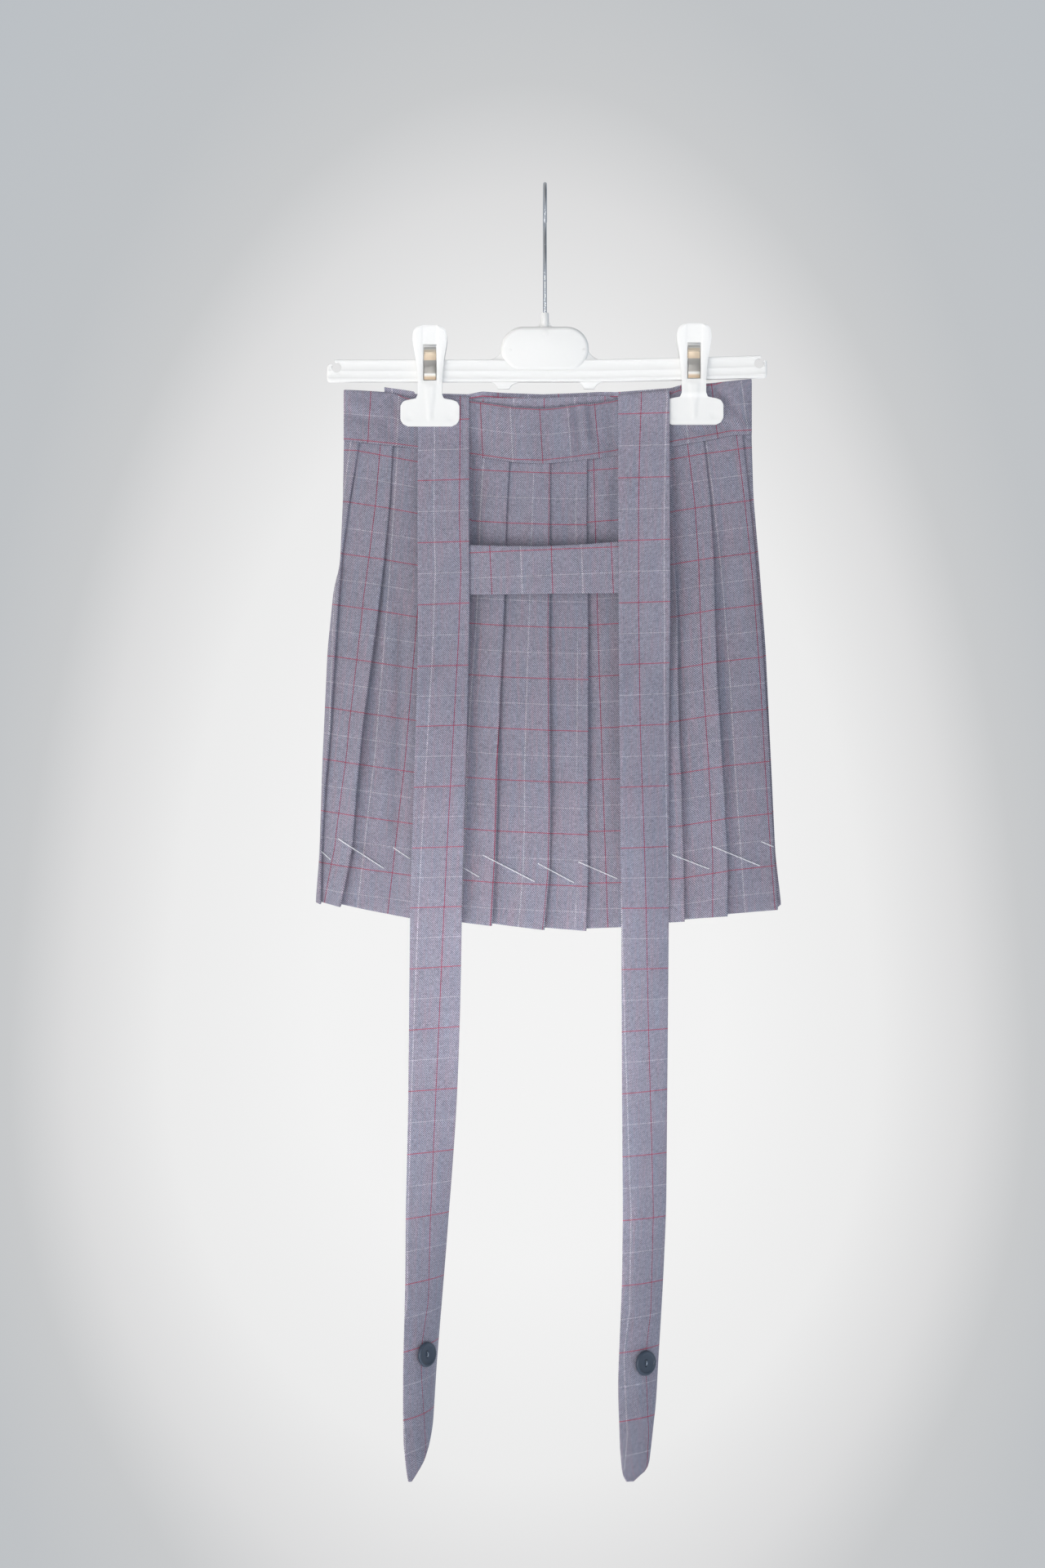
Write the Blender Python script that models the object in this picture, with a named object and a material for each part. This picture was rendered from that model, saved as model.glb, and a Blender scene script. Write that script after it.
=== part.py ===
"""A child's pleated skirt with two hanging straps, held by a clip hanger.

Tables and sizes are in millimetres and are turned into metres when a mesh is made. X runs to the
viewer's right, Z up, and the front of the skirt faces -Y. The origin is on the inside of the hook,
at the top of its bend. "Depth" is the distance from the middle of the flat tube of cloth towards
whoever looks at that side of it.
"""

import math
from collections import namedtuple

import bpy
import bmesh
import numpy as np
from mathutils import Matrix, Vector

MM = 0.001
GAP = 0.3

# Cloth walls and the middle of the cloth tube
PLY = 1.0
PLEAT_PITCH = PLY + GAP
BAND_WALL = 1.8
STRAP_WALL = 1.2
CLOTH_MIDDLE_Y = 2.0
SIDE_DEPTH = 0.2
LEAST_DEPTH = GAP / 2 + PLY / 2

# The skirt's panels, one row for each height: share of the way from waist seam to hem, the two
# outlines, how deep the tube is, and how far the mouth between the clips bulges out
Level = namedtuple("Level", "share left right depth mouth")
LEVELS = (
    Level(0.000, -137.8, 142.2, 5.6, 3.5),
    Level(0.130, -138.5, 143.4, 7.2, 3.2),
    Level(0.274, -140.6, 147.4, 8.6, 2.6),
    Level(0.313, -144.6, 148.4, 9.0, 2.4),
    Level(0.451, -149.0, 151.8, 10.2, 2.0),
    Level(0.699, -152.6, 155.6, 11.6, 1.0),
    Level(0.894, -154.6, 158.6, 12.6, 0.4),
    Level(1.000, -157.2, 162.6, 13.4, 0.0),
)
TUBE_ROUNDNESS = 6
CORNER_DEPTH = 1.7
KNEE_INSET = 0.9
WAIST_UNDERLAY = 0.42
HEM_UNDERLAY = 0.60

# The front's pleats, one row for each free edge: its x at the waist, hip, knee and hem, and the
# height of the hem there
Fold = namedtuple("Fold", "waist hip low hem hem_z")
FOLD_SHARES = (0.0, 0.274, 0.699, 1.0)
FRONT_FOLDS = (
    Fold(-127.1, -137.4, -148.2, -152.9, -492.2),
    Fold(-104.7, -111.4, -128.2, -140.6, -493.9),
    Fold(-76.7, -80.6, -86.8, -90.7, -501.8),
    Fold(-50.4, -51.6, -56.6, -59.9, -505.7),
    Fold(-24.6, -27.6, -33.0, -37.0, -506.8),
    Fold(3.4, 2.4, 3.1, -1.1, -509.6),
    Fold(28.6, 28.7, 29.1, 27.4, -510.2),
    Fold(55.4, 58.0, 60.5, 62.2, -507.4),
    Fold(85.7, 89.2, 91.8, 94.6, -504.0),
    Fold(108.6, 115.2, 120.4, 124.0, -500.4),
    Fold(135.0, 143.2, 152.0, 159.0, -496.2),
)
HEM_ENDS_Z = (-491.1, -492.8)
HEM_STEP = 1.5

# The back's pleats are even but for these shifts, in shares of a pleat
BACK_SHIFTS = (0.0, 0.10, -0.06, 0.08, -0.10, 0.05, 0.12, -0.08, 0.04, -0.05, 0.0)
BACK_HEM_SAG = 17.0
BACK_FIRST_SHARE = 0.03
BACK_LAST_INSET = 4.2

# The seam between band and pleats, and the top edges of the band's layers, as x and z
SEAM = ((-137.8, -174.7), (-120.4, -176.4), (-86.8, -180.3), (-50.4, -185.1), (-21.3, -189.8),
        (-1.1, -191.0), (19.6, -189.0), (49.8, -185.1), (86.8, -178.9), (111.4, -174.7),
        (127.7, -171.1), (142.2, -170.2))
FRONT_TOP = ((-137.8, -139.5), (-110.3, -141.2), (-95.0, -143.0), (-88.0, -146.8), (-50.4, -147.0),
             (-37.5, -149.0), (-21.3, -151.8), (-1.1, -153.0), (11.2, -151.8), (23.5, -149.6),
             (35.3, -149.0), (49.3, -146.2), (84.0, -142.4), (92.0, -139.2), (111.4, -135.5),
             (141.1, -132.2))
UNDERLAP_TOP = ((-109.8, -137.8), (-95.0, -140.4), (-88.0, -146.8), (-52.0, -146.8), (-44.0, -145.4),
                (-1.1, -145.7), (18.5, -144.8), (44.0, -143.6), (50.0, -146.4), (70.0, -144.6))
BACK_TOP = ((-137.8, -140.6), (-110.3, -142.3), (-68.3, -142.0), (-52.0, -142.4), (-43.1, -140.4),
            (-31.9, -140.8), (-1.1, -141.7), (35.3, -140.6), (49.3, -140.9), (86.8, -138.1),
            (93.0, -136.2), (111.4, -135.0), (141.1, -132.8))
BAND_COLUMNS = 30
BAND_ROWS = (0.0, 0.25, 0.5, 0.74, 1.0)
UNDERLAP_WALL = 1.0
UNDERLAP_SPAN = (-109.8, 64.0)
UNDERLAP_DROP = 27.0
UNDERLAP_COLUMNS = 24
UNDERLAP_ROWS = (0.0, 0.5, 1.0)
BAND_SIDE_DEPTH = 1.4

# How deep each layer's middle lies where it is held flat, and from where to where the clips and
# straps hold it
FRONT_PINCH = 3.75
BACK_PINCH = 1.15
UNDERLAP_PINCH = 2.05
UNDERLAP_FOLLOWS = 0.55
TAIL_PINCH = 0.7
HELD_SPANS = ((-104.0, -50.0), (49.0, 127.0))
HELD_FADE = 24.0
HELD_DOWN_TO = 0.74

# Straps, one row for each height of the front run: z, x of the left edge, width, depth of the left
# edge, and how far the cloth at the left and right edges is turned away from the viewer, in degrees
StrapRow = namedtuple("StrapRow", "z left width depth turn_left turn_right")
LEFT_STRAP = (
    StrapRow(-147.5, -86.8, 35.3, 5.65, 0, 0),
    StrapRow(-166.5, -86.8, 35.3, 5.65, 0, 0),
    StrapRow(-182.0, -86.8, 35.3, 9.6, 0, 0),
    StrapRow(-205.0, -86.8, 35.3, 12.6, 2, -2),
    StrapRow(-235.0, -86.8, 35.3, 15.2, 4, -4),
    StrapRow(-284.0, -86.6, 35.3, 17.8, 4, 0),
    StrapRow(-310.0, -86.4, 35.3, 19.5, 10, 8),
    StrapRow(-350.0, -87.2, 35.3, 21.2, 12, 10),
    StrapRow(-400.0, -88.8, 35.3, 20.6, 8, 6),
    StrapRow(-450.0, -90.4, 35.3, 19.4, 4, 2),
    StrapRow(-494.0, -91.8, 35.3, 18.6, 2, 0),
    StrapRow(-540.0, -92.2, 35.3, 18.6, 10, 6),
    StrapRow(-590.0, -92.7, 35.3, 19.5, 18, 12),
    StrapRow(-640.0, -93.2, 35.3, 21.0, 20, 28),
    StrapRow(-700.0, -94.6, 35.3, 23.0, 22, 46),
    StrapRow(-750.0, -94.9, 35.3, 25.5, 24, 62),
    StrapRow(-807.0, -96.3, 35.3, 28.0, 24, 76),
    StrapRow(-843.0, -96.3, 35.3, 29.5, 24, 84),
    StrapRow(-863.5, -95.8, 24.0, 30.0, 24, 65),
    StrapRow(-874.7, -94.6, 15.3, 30.4, 24, 50),
    StrapRow(-882.0, -93.7, 8.0, 30.6, 24, 38),
    StrapRow(-887.6, -92.7, 2.4, 30.8, 24, 28),
)
RIGHT_STRAP = (
    StrapRow(-146.0, 50.4, 35.3, 5.65, -4.4, -4.4),
    StrapRow(-165.5, 50.4, 35.3, 6.0, -4.2, -4.2),
    StrapRow(-182.0, 50.4, 35.3, 9.8, -1, -1),
    StrapRow(-205.0, 50.4, 35.3, 12.8, 1, -2),
    StrapRow(-235.0, 50.4, 35.3, 15.2, 2, -4),
    StrapRow(-284.0, 50.5, 35.3, 17.6, 2, 0),
    StrapRow(-310.0, 50.6, 35.3, 19.2, 4, 10),
    StrapRow(-350.0, 50.9, 35.3, 22.4, 10, 18),
    StrapRow(-400.0, 51.3, 35.3, 25.0, 12, 24),
    StrapRow(-450.0, 51.8, 35.3, 27.4, 14, 28),
    StrapRow(-494.0, 52.1, 35.3, 28.8, 14, 30),
    StrapRow(-540.0, 52.3, 35.3, 28.2, 14, 34),
    StrapRow(-590.0, 52.5, 35.3, 27.4, 14, 38),
    StrapRow(-640.0, 52.7, 35.3, 27.0, 14, 42),
    StrapRow(-700.0, 53.2, 35.3, 27.0, 14, 48),
    StrapRow(-750.0, 52.6, 35.3, 27.4, 14, 56),
    StrapRow(-818.0, 49.8, 35.3, 28.0, 14, 62),
    StrapRow(-830.0, 50.1, 33.4, 28.2, 14, 59),
    StrapRow(-847.0, 50.7, 29.0, 28.4, 14, 53),
    StrapRow(-864.0, 51.2, 25.3, 28.6, 14, 48),
    StrapRow(-875.0, 52.1, 22.0, 28.7, 14, 43),
    StrapRow(-880.5, 52.6, 19.0, 28.8, 14, 39),
    StrapRow(-884.0, 53.6, 12.0, 28.8, 14, 30),
    StrapRow(-887.6, 55.6, 5.0, 28.8, 14, 20),
)
STRAP_COLUMNS = 4
LEFT_FOLD_TOP_Z = -144.4
RIGHT_FOLD_TOP_Z = -143.2
RIGHT_FOLD_SLANT = 0.10
FOLD_STEPS = 4
FOLD_HEIGHT = 2.0
SEAM_GAP = 0.6
TAIL_BOTTOM_Z = -170.0
TAIL_WALL = 1.1

# The band across the chest. Its ends are sewn flat behind both straps; between them it stands a
# little further forward, by the last column
CrossRow = namedtuple("CrossRow", "x top_z bottom_z forward")
CROSS_ROWS = (
    CrossRow(-62.0, -245.9, -280.4, 0.0),
    CrossRow(-49.5, -246.5, -280.6, 0.0),
    CrossRow(-30.0, -247.2, -280.4, 1.2),
    CrossRow(-1.1, -247.5, -280.0, 1.9),
    CrossRow(25.0, -246.2, -279.8, 1.5),
    CrossRow(48.4, -244.3, -279.6, 0.0),
    CrossRow(61.0, -243.9, -279.4, 0.0),
)
CROSS_WALL = 1.4
CROSS_BEHIND = (STRAP_WALL + CROSS_WALL) / 2 + 0.4
CROSS_DROP_STEPS = 3

# Buttons: the turned profile from the seat outwards, as how far in from the rim and how high, and
# each button's z and share of the way across its strap
BUTTON_RADIUS = 8.7
BUTTON_PROFILE = ((1.6, 0.0), (0.4, 0.7), (0.0, 1.5), (0.5, 2.7), (1.4, 3.0), (2.2, 2.8), (3.1, 2.0))
BUTTON_HOLE_RADIUS = 0.9
BUTTON_HOLE_APART = 3.4
BUTTON_HOLE_ENDS = (-1.0, 5.0)
BUTTON_HOLE_SIDES = 10
BUTTON_SIDES = 28
BUTTON_ROWS = {"left": (-799.0, 0.50), "right": (-804.6, 0.55)}

# Hanger
BAR_LEFT, BAR_RIGHT = -149.0, 152.3
BAR_TOP, BAR_BOTTOM = -119.2, -134.4
BAR_HALF_DEPTH = 4.0
BAR_WEB_HALF = 2.9
BAR_LEDGES = (1.8, 7.4, 8.4, 12.6)
BAR_RISE = 3.0
BAR_RISE_FROM = 20.0
BAR_RISE_POWER = 1.5
BAR_STATIONS = (BAR_LEFT, -60.0, BAR_RISE_FROM, 65.0, 110.0, BAR_RIGHT)
NOTCH_RADIUS = 3.4
NOTCH_SLOT = 4.2
NOTCH_LEAN = 50
NOTCH_REACH = 11.0
NOTCH_STEPS = 12
LEFT_NOTCH = (-142.5, -124.7)
RIGHT_NOTCH = (147.1, -121.8)
OVAL_CENTRE = (0.3, -111.7)
OVAL_WIDTH, OVAL_HEIGHT = 60.0, 30.2
OVAL_HALF_DEPTH = 5.2
OVAL_ARC_STEPS = 10
SHOULDER_OUTLINE = ((39.5, -3.0), (39.5, -0.4), (34.5, 1.6), (28.0, 9.0))
SHOULDER_HALF_DEPTH = 2.6
LUGS = ((-38.0, -15.0, -32.0, -24.0), (22.0, 41.5, 27.0, 34.2))
LUG_BOTTOM = -139.2
LUG_HALF_DEPTH = 1.6
NECK_X = 0.3
NECK_TOP, NECK_BOTTOM = -86.8, -98.4
NECK_RADIUS = 2.7
NECK_SIDES = 16
BORE_SIDES = 12
GUSSET_LOW_HALF, GUSSET_TOP_HALF = 6.2, 2.1
GUSSET_TOP = -90.0
GUSSET_HALF_DEPTH = 1.1

# Hook: a wire with a round bend, seen from the front edge on
WIRE_RADIUS = 1.35
HOOK_INNER_RADIUS = 20.0
HOOK_TIP_BELOW_CENTRE = 7.0
HOOK_BACK_ANGLE = -52.0
HOOK_ARC_STEPS = 15
HOOK_STRAIGHT = 3.0
HOOK_BEND_STEPS = 4
WIRE_INSIDE_NECK = 8.0
WIRE_SIDES_RESOLUTION = 2

# Clips: one row for each height of a jaw: z, half width, how far its inner face is from the bar's
# middle, for the left clip; shifts carry it to the right one
JawRow = namedtuple("JawRow", "z half inner")
JAW_ROWS = (
    JawRow(-96.5, 5.6, 11.2),
    JawRow(-97.6, 8.8, 10.8),
    JawRow(-100.6, 11.0, 10.0),
    JawRow(-106.4, 11.8, 8.6),
    JawRow(-109.2, 11.4, 7.8),
    JawRow(-118.7, 9.8, 5.6),
    JawRow(-126.0, 9.0, 4.5),
    JawRow(-133.8, 8.4, 4.45),
    JawRow(-143.0, 8.3, 4.45),
    JawRow(-146.2, 9.6, 4.45),
    JawRow(-146.9, 15.0, 4.45),
    JawRow(-148.2, 18.4, 4.45),
    JawRow(-151.0, 20.2, 4.45),
    JawRow(-160.6, 20.2, 4.45),
    JawRow(-163.6, 18.4, 4.45),
    JawRow(-165.2, 15.0, 4.45),
)
JAW_WALL = 2.4
WINDOW_HALF = 4.6
WINDOW_ROWS = (4, 7)
JAW_RIB_SHARE = 0.6
LEFT_CLIP_X, LEFT_CLIP_RISE = -78.5, 0.0
RIGHT_CLIP_X, RIGHT_CLIP_RISE = 102.3, 1.3
RIGHT_FOOT_INNER = 2.95
REAR_INNER = 4.5
FOOT_FROM_ROW = 9

# Springs: a flat strip whose two legs lie in the windows and whose top arches over the bar
SPRING_WALL = 0.8
SPRING_HALF = 4.1
SPRING_LEG_OUT = ((-133.2, 5.9), (-129.0, 6.3), (-124.0, 6.4), (-119.0, 7.4), (-114.5, 7.9),
                  (-111.6, 6.6))
SPRING_TOP_Z = -110.8
SPRING_TOP_HALF = 2.6

Material = namedtuple("Material", "colour roughness metallic")
MATERIALS = {
    "check_cloth": Material((0.27, 0.26, 0.34), 0.85, 0.0),
    "strap_cloth": Material((0.27, 0.26, 0.34), 0.85, 0.0),
    "dark_button": Material((0.045, 0.060, 0.095), 0.35, 0.0),
    "white_plastic": Material((0.90, 0.90, 0.90), 0.30, 0.0),
    "hook_steel": Material((0.62, 0.63, 0.65), 0.22, 1.0),
    "spring_steel": Material((0.55, 0.50, 0.45), 0.28, 1.0),
}


def clear_scene():
    for item in list(bpy.data.objects):
        bpy.data.objects.remove(item, do_unlink=True)


def material(name):
    """The named finish, made once."""
    found = bpy.data.materials.get(name)
    if found:
        return found
    look = MATERIALS[name]
    made = bpy.data.materials.new(name)
    made.use_nodes = True
    shader = made.node_tree.nodes["Principled BSDF"]
    shader.inputs["Base Color"].default_value = (*look.colour, 1.0)
    shader.inputs["Roughness"].default_value = look.roughness
    shader.inputs["Metallic"].default_value = look.metallic
    return made


def add_mesh(name, points, faces, finish, smooth=True):
    """An object from points in millimetres."""
    mesh = bpy.data.meshes.new(name)
    mesh.from_pydata([tuple(c * MM for c in p) for p in points], [], faces)
    mesh.materials.append(material(finish))
    made = bpy.data.objects.new(name, mesh)
    bpy.context.collection.objects.link(made)
    box = bmesh.new()
    box.from_mesh(mesh)
    bmesh.ops.recalc_face_normals(box, faces=box.faces)
    box.to_mesh(mesh)
    box.free()
    if smooth:
        mesh.shade_smooth()
        mesh.set_sharp_from_angle(angle=math.radians(40))
    return made


def walled_sheet(name, outer, inner, finish):
    """A closed wall between two grids of points, rows of columns, with its four edges closed.

    Every quad is split from its upper left to its lower right, whichever way its columns run, so
    that layers of cloth that lie close together stay apart.
    """
    rows, columns = len(outer), len(outer[0])
    points = [tuple(p) for row in outer for p in row] + [tuple(p) for row in inner for p in row]
    behind = rows * columns

    def at(row, column):
        return row * columns + column

    faces = []
    for row in range(rows - 1):
        for column in range(columns - 1):
            corners = [at(row, column), at(row, column + 1), at(row + 1, column + 1), at(row + 1, column)]
            if points[corners[0]][0] > points[corners[1]][0]:
                corners.append(corners.pop(0))
            for triangle in (corners[:3], [corners[0], corners[2], corners[3]]):
                faces.append(tuple(triangle))
                faces.append(tuple(behind + corner for corner in reversed(triangle)))
    top = [at(0, column) for column in range(columns)]
    right = [at(row, columns - 1) for row in range(rows)]
    bottom = [at(rows - 1, column) for column in reversed(range(columns))]
    left = [at(row, 0) for row in reversed(range(rows))]
    for side in (top, right, bottom, left):
        for here, there in zip(side, side[1:]):
            faces.append((there, here, behind + here, behind + there))
    return add_mesh(name, points, faces, finish)


def table_value(table, x):
    """Height read from a table of x and z."""
    return float(np.interp(x, [row[0] for row in table], [row[1] for row in table]))


def smooth_step(value):
    value = min(max(value, 0.0), 1.0)
    return value * value * (3 - 2 * value)


def held_at(x):
    """1 where clips and straps hold the cloth flat, falling to 0 away from them."""
    away = min(max(start - x, x - end, 0.0) for start, end in HELD_SPANS)
    return 1 - smooth_step(away / HELD_FADE)


def mouth_at(x):
    """1 midway between the straps, where the open waist bulges, and 0 where the cloth is held."""
    start, end = HELD_SPANS[0][1], HELD_SPANS[1][0]
    along = (x - start) / (end - start)
    return math.sin(math.pi * along) ** 2 if 0 < along < 1 else 0.0


def round_side(x, level):
    """How full the flat tube is at x: 1 in the middle and 0 at its rounded sides."""
    middle = (level.left + level.right) / 2
    along = min(abs((x - middle) / ((level.right - level.left) / 2)), 1.0)
    return math.sqrt(1 - along ** TUBE_ROUNDNESS)


def tube_depth(x, level):
    """Depth of the outermost pleat edges at x."""
    return LEAST_DEPTH + round_side(x, level) * (level.depth + level.mouth * mouth_at(x))


def place(x, depth, z, facing):
    """A point in the row's frame, from where someone sees it who looks at the front or the back."""
    if facing == "front":
        return (x, CLOTH_MIDDLE_Y - depth, z)
    return (-x, CLOTH_MIDDLE_Y + depth, z)


def offset_line(line, distance):
    """A line of (x, depth) points moved sideways by a distance, corners mitred."""
    points = [Vector(p) for p in line]
    headings = [(b - a).normalized() for a, b in zip(points, points[1:])]
    moved = []
    for index, point in enumerate(points):
        before = headings[max(index - 1, 0)]
        after = headings[min(index, len(headings) - 1)]
        normal = Vector((-before.y - after.y, before.x + after.x)).normalized()
        widen = 1 / max(normal.dot(Vector((-after.y, after.x))), 0.6)
        moved.append(point + normal * (distance * widen))
    return moved


def pleat_line(level, edges, hems, seam_z):
    """One height of a pleated panel, as (x, depth, z) along its cloth, pleat after pleat."""
    share_down = level.share
    underlay = WAIST_UNDERLAY + (HEM_UNDERLAY - WAIST_UNDERLAY) * share_down

    def height(x, hem_z):
        return (seam_z(x) - SEAM_GAP) * (1 - share_down) + hem_z * share_down

    left, right = level.left + PLY / 2, level.right - PLY / 2
    line = [(left, SIDE_DEPTH, height(left, hems[0])), (left, CORNER_DEPTH, height(left, hems[0]))]
    start, start_hem = left, hems[0]
    for index, edge in enumerate(edges):
        width = edge - start
        hem = hems[index + 1]
        top = tube_depth(edge, level)
        next_hem = hem + HEM_STEP
        if index == 0:
            line.append((edge - PLEAT_PITCH / 2, top, height(edge, hem)))
            line.append((edge, top - PLEAT_PITCH / 2, height(edge, hem)))
            line.append((edge, top - 2 * PLEAT_PITCH, height(edge, next_hem)))
        else:
            knee = edge - width * underlay
            share = (knee - start) / width
            knee_hem = start_hem + (hem - start_hem) * share
            knee_depth = tube_depth(knee, level) - 2 * PLEAT_PITCH * (1 - share)
            along = Vector((edge - knee, top - knee_depth))
            length = along.length
            along.normalize()
            # Each fold of cloth as how far along the pleat, how many layers down, and its hem
            layers = (
                (0, 0, knee_hem), (length, 0, hem), (length + PLEAT_PITCH / 2, 0.5, hem), (length, 1, hem),
                (KNEE_INSET, 1, knee_hem), (KNEE_INSET - PLEAT_PITCH / 2, 1.5, knee_hem),
                (KNEE_INSET, 2, knee_hem), (length + PLEAT_PITCH, 2, next_hem)
            )
            for reach, layer, hem_z in layers:
                x = knee + along.x * reach + along.y * layer * PLEAT_PITCH
                depth = knee_depth + along.y * reach - along.x * layer * PLEAT_PITCH
                line.append((x, depth, height(x, hem_z)))
        start, start_hem = edge, next_hem
    line.append((right, CORNER_DEPTH, height(right, hems[-1])))
    line.append((right, SIDE_DEPTH, height(right, hems[-1])))
    return line


def pleated_panel(name, levels, edge_table, hems, seam_z, facing):
    """A pleated panel's wall, ring after ring down the skirt."""
    outer, inner = [], []
    for level, edges in zip(levels, edge_table):
        line = pleat_line(level, edges, hems, seam_z)
        flat = [(x, depth) for x, depth, _ in line]
        heights = [z for _, _, z in line]
        for rows, side in ((outer, PLY / 2), (inner, -PLY / 2)):
            moved = offset_line(flat, side)
            rows.append([place(p.x, p.y, z, facing) for p, z in zip(moved, heights)])
    return walled_sheet(name, outer, inner, "check_cloth")


def skirt_front():
    edge_table = [
        [float(np.interp(level.share, FOLD_SHARES, fold[:4])) for fold in FRONT_FOLDS] for level in LEVELS
    ]
    hems = [HEM_ENDS_Z[0], *[fold.hem_z for fold in FRONT_FOLDS], HEM_ENDS_Z[1]]
    return pleated_panel("skirt_front", LEVELS, edge_table, hems, lambda x: table_value(SEAM, x), "front")


def skirt_back():
    """The back as seen from behind, so left and right are exchanged."""
    levels = [level._replace(left=-level.right, right=-level.left) for level in LEVELS]
    count = len(BACK_SHIFTS)
    edge_table = []
    for level, front in zip(levels, LEVELS):
        first = level.left + (level.right - level.left) * BACK_FIRST_SHARE
        last = level.right - BACK_LAST_INSET
        step = (last - first) / (count - 1)
        edge_table.append([first + step * (index + shift) for index, shift in enumerate(BACK_SHIFTS)])
    sag = [BACK_HEM_SAG * math.sin(math.pi * index / (count + 1)) for index in range(count + 2)]
    hems = [HEM_ENDS_Z[1] - drop for drop in sag]
    return pleated_panel("skirt_back", levels, edge_table, hems, lambda x: table_value(SEAM, -x), "back")


def band_depth(x, down, pinched):
    """Depth of a band layer's middle: flat where it is held, meeting the pleats at its lower edge."""
    full = tube_depth(x, LEVELS[0])
    held = held_at(x) * (1 - smooth_step((down - HELD_DOWN_TO) / (1 - HELD_DOWN_TO)))
    return full + (min(pinched, full) - full) * held


def grid_walls(grid, wall):
    """Both faces of a wall round a grid of points, moved along the grid's own normals."""
    rows, columns = len(grid), len(grid[0])
    both = ([], [])
    for row in range(rows):
        faces = ([], [])
        for column in range(columns):
            across = grid[row][min(column + 1, columns - 1)] - grid[row][max(column - 1, 0)]
            down = grid[min(row + 1, rows - 1)][column] - grid[max(row - 1, 0)][column]
            normal = across.cross(down).normalized()
            for side, face in zip((-0.5, 0.5), faces):
                face.append(grid[row][column] + normal * (side * wall))
        both[0].append(faces[0])
        both[1].append(faces[1])
    return both


def band_half(name, top_table, pinched, facing):
    """Half of the waistband, with both ends turned round the sides of the waist."""
    waist = LEVELS[0]
    left, right = waist.left + BAND_WALL / 2, waist.right - BAND_WALL / 2
    turn = -1 if facing == "back" else 1
    stations = [left]
    for column in range(BAND_COLUMNS + 1):
        along = 0.5 - 0.5 * math.cos(math.pi * column / BAND_COLUMNS)
        stations.append(left + (right - left) * along)
    stations.append(right)
    grid = []
    for down in BAND_ROWS:
        row = []
        for column, x in enumerate(stations):
            depth = band_depth(x, down, pinched)
            if column in (0, len(stations) - 1):
                depth = SIDE_DEPTH
            elif column in (1, len(stations) - 2):
                depth = BAND_SIDE_DEPTH
            z = table_value(top_table, x) * (1 - down) + table_value(SEAM, x) * down
            row.append(Vector((x, CLOTH_MIDDLE_Y - turn * depth, z)))
        grid.append(row)
    outer, inner = grid_walls(grid, BAND_WALL)
    return walled_sheet(name, outer, inner, "check_cloth")


def underlap():
    """The band's end that laps inside the front, plain where the front hides it."""
    left, right = UNDERLAP_SPAN
    grid = []
    for down in UNDERLAP_ROWS:
        row = []
        for column in range(UNDERLAP_COLUMNS + 1):
            x = left + (right - left) * column / UNDERLAP_COLUMNS
            top = table_value(UNDERLAP_TOP, x)
            front = band_depth(x, down * HELD_DOWN_TO, FRONT_PINCH)
            depth = UNDERLAP_PINCH + UNDERLAP_FOLLOWS * (front - FRONT_PINCH)
            row.append(Vector((x, CLOTH_MIDDLE_Y - depth, top - UNDERLAP_DROP * down)))
        grid.append(row)
    outer, inner = grid_walls(grid, UNDERLAP_WALL)
    return walled_sheet("waistband_underlap", outer, inner, "check_cloth")


def strap_row(row, columns):
    """Points across one row of a strap, curling from its left edge to its right one."""
    step = row.width / columns
    x, depth = row.left, row.depth
    across = [Vector((x, CLOTH_MIDDLE_Y - depth, row.z))]
    for column in range(columns):
        turn = math.radians(row.turn_left + (row.turn_right - row.turn_left) * (column + 0.5) / columns)
        x += step * math.cos(turn)
        depth -= step * math.sin(turn)
        across.append(Vector((x, CLOTH_MIDDLE_Y - depth, row.z)))
    return across


def strap_grid(rows, fold_top, slant):
    """A strap's middle surface: up inside the waist, over the band's top edge and down the front."""
    front = strap_row(rows[0], STRAP_COLUMNS)
    grid = []
    for step in range(FOLD_STEPS + 1):
        angle = math.pi * step / FOLD_STEPS
        line = []
        for point in front:
            reach = (CLOTH_MIDDLE_Y - point.y - TAIL_PINCH) / 2
            depth = TAIL_PINCH + reach * (1 - math.cos(angle))
            top = fold_top + slant * (point.x - rows[0].left)
            line.append(Vector((point.x, CLOTH_MIDDLE_Y - depth, top - FOLD_HEIGHT * (1 - math.sin(angle)))))
        grid.append(line)
    return grid + [strap_row(row, STRAP_COLUMNS) for row in rows]


def strap(side, rows, fold_top, slant):
    grid = strap_grid(rows, fold_top, slant)
    outer, inner = grid_walls(grid, STRAP_WALL)
    walled_sheet(f"strap_{side}", outer, inner, "strap_cloth")
    tail = []
    for down in (0.0, 0.5, 1.0):
        line = []
        for point in grid[0]:
            z = (point.z - SEAM_GAP) * (1 - down) + TAIL_BOTTOM_Z * down
            line.append(Vector((point.x, CLOTH_MIDDLE_Y - TAIL_PINCH, z)))
        tail.append(line)
    outer, inner = grid_walls(tail, TAIL_WALL)
    walled_sheet(f"strap_tail_{side}", outer, inner, "strap_cloth")
    return grid


def strap_y(grid, x, z):
    """Where a strap's middle surface lies at x and z, level beyond its edges."""
    rows = grid[FOLD_STEPS + 1:]
    heights = [row[0].z for row in reversed(rows)]
    across = [np.interp(x, [point.x for point in row], [point.y for point in row]) for row in reversed(rows)]
    return float(np.interp(z, heights, across))


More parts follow.
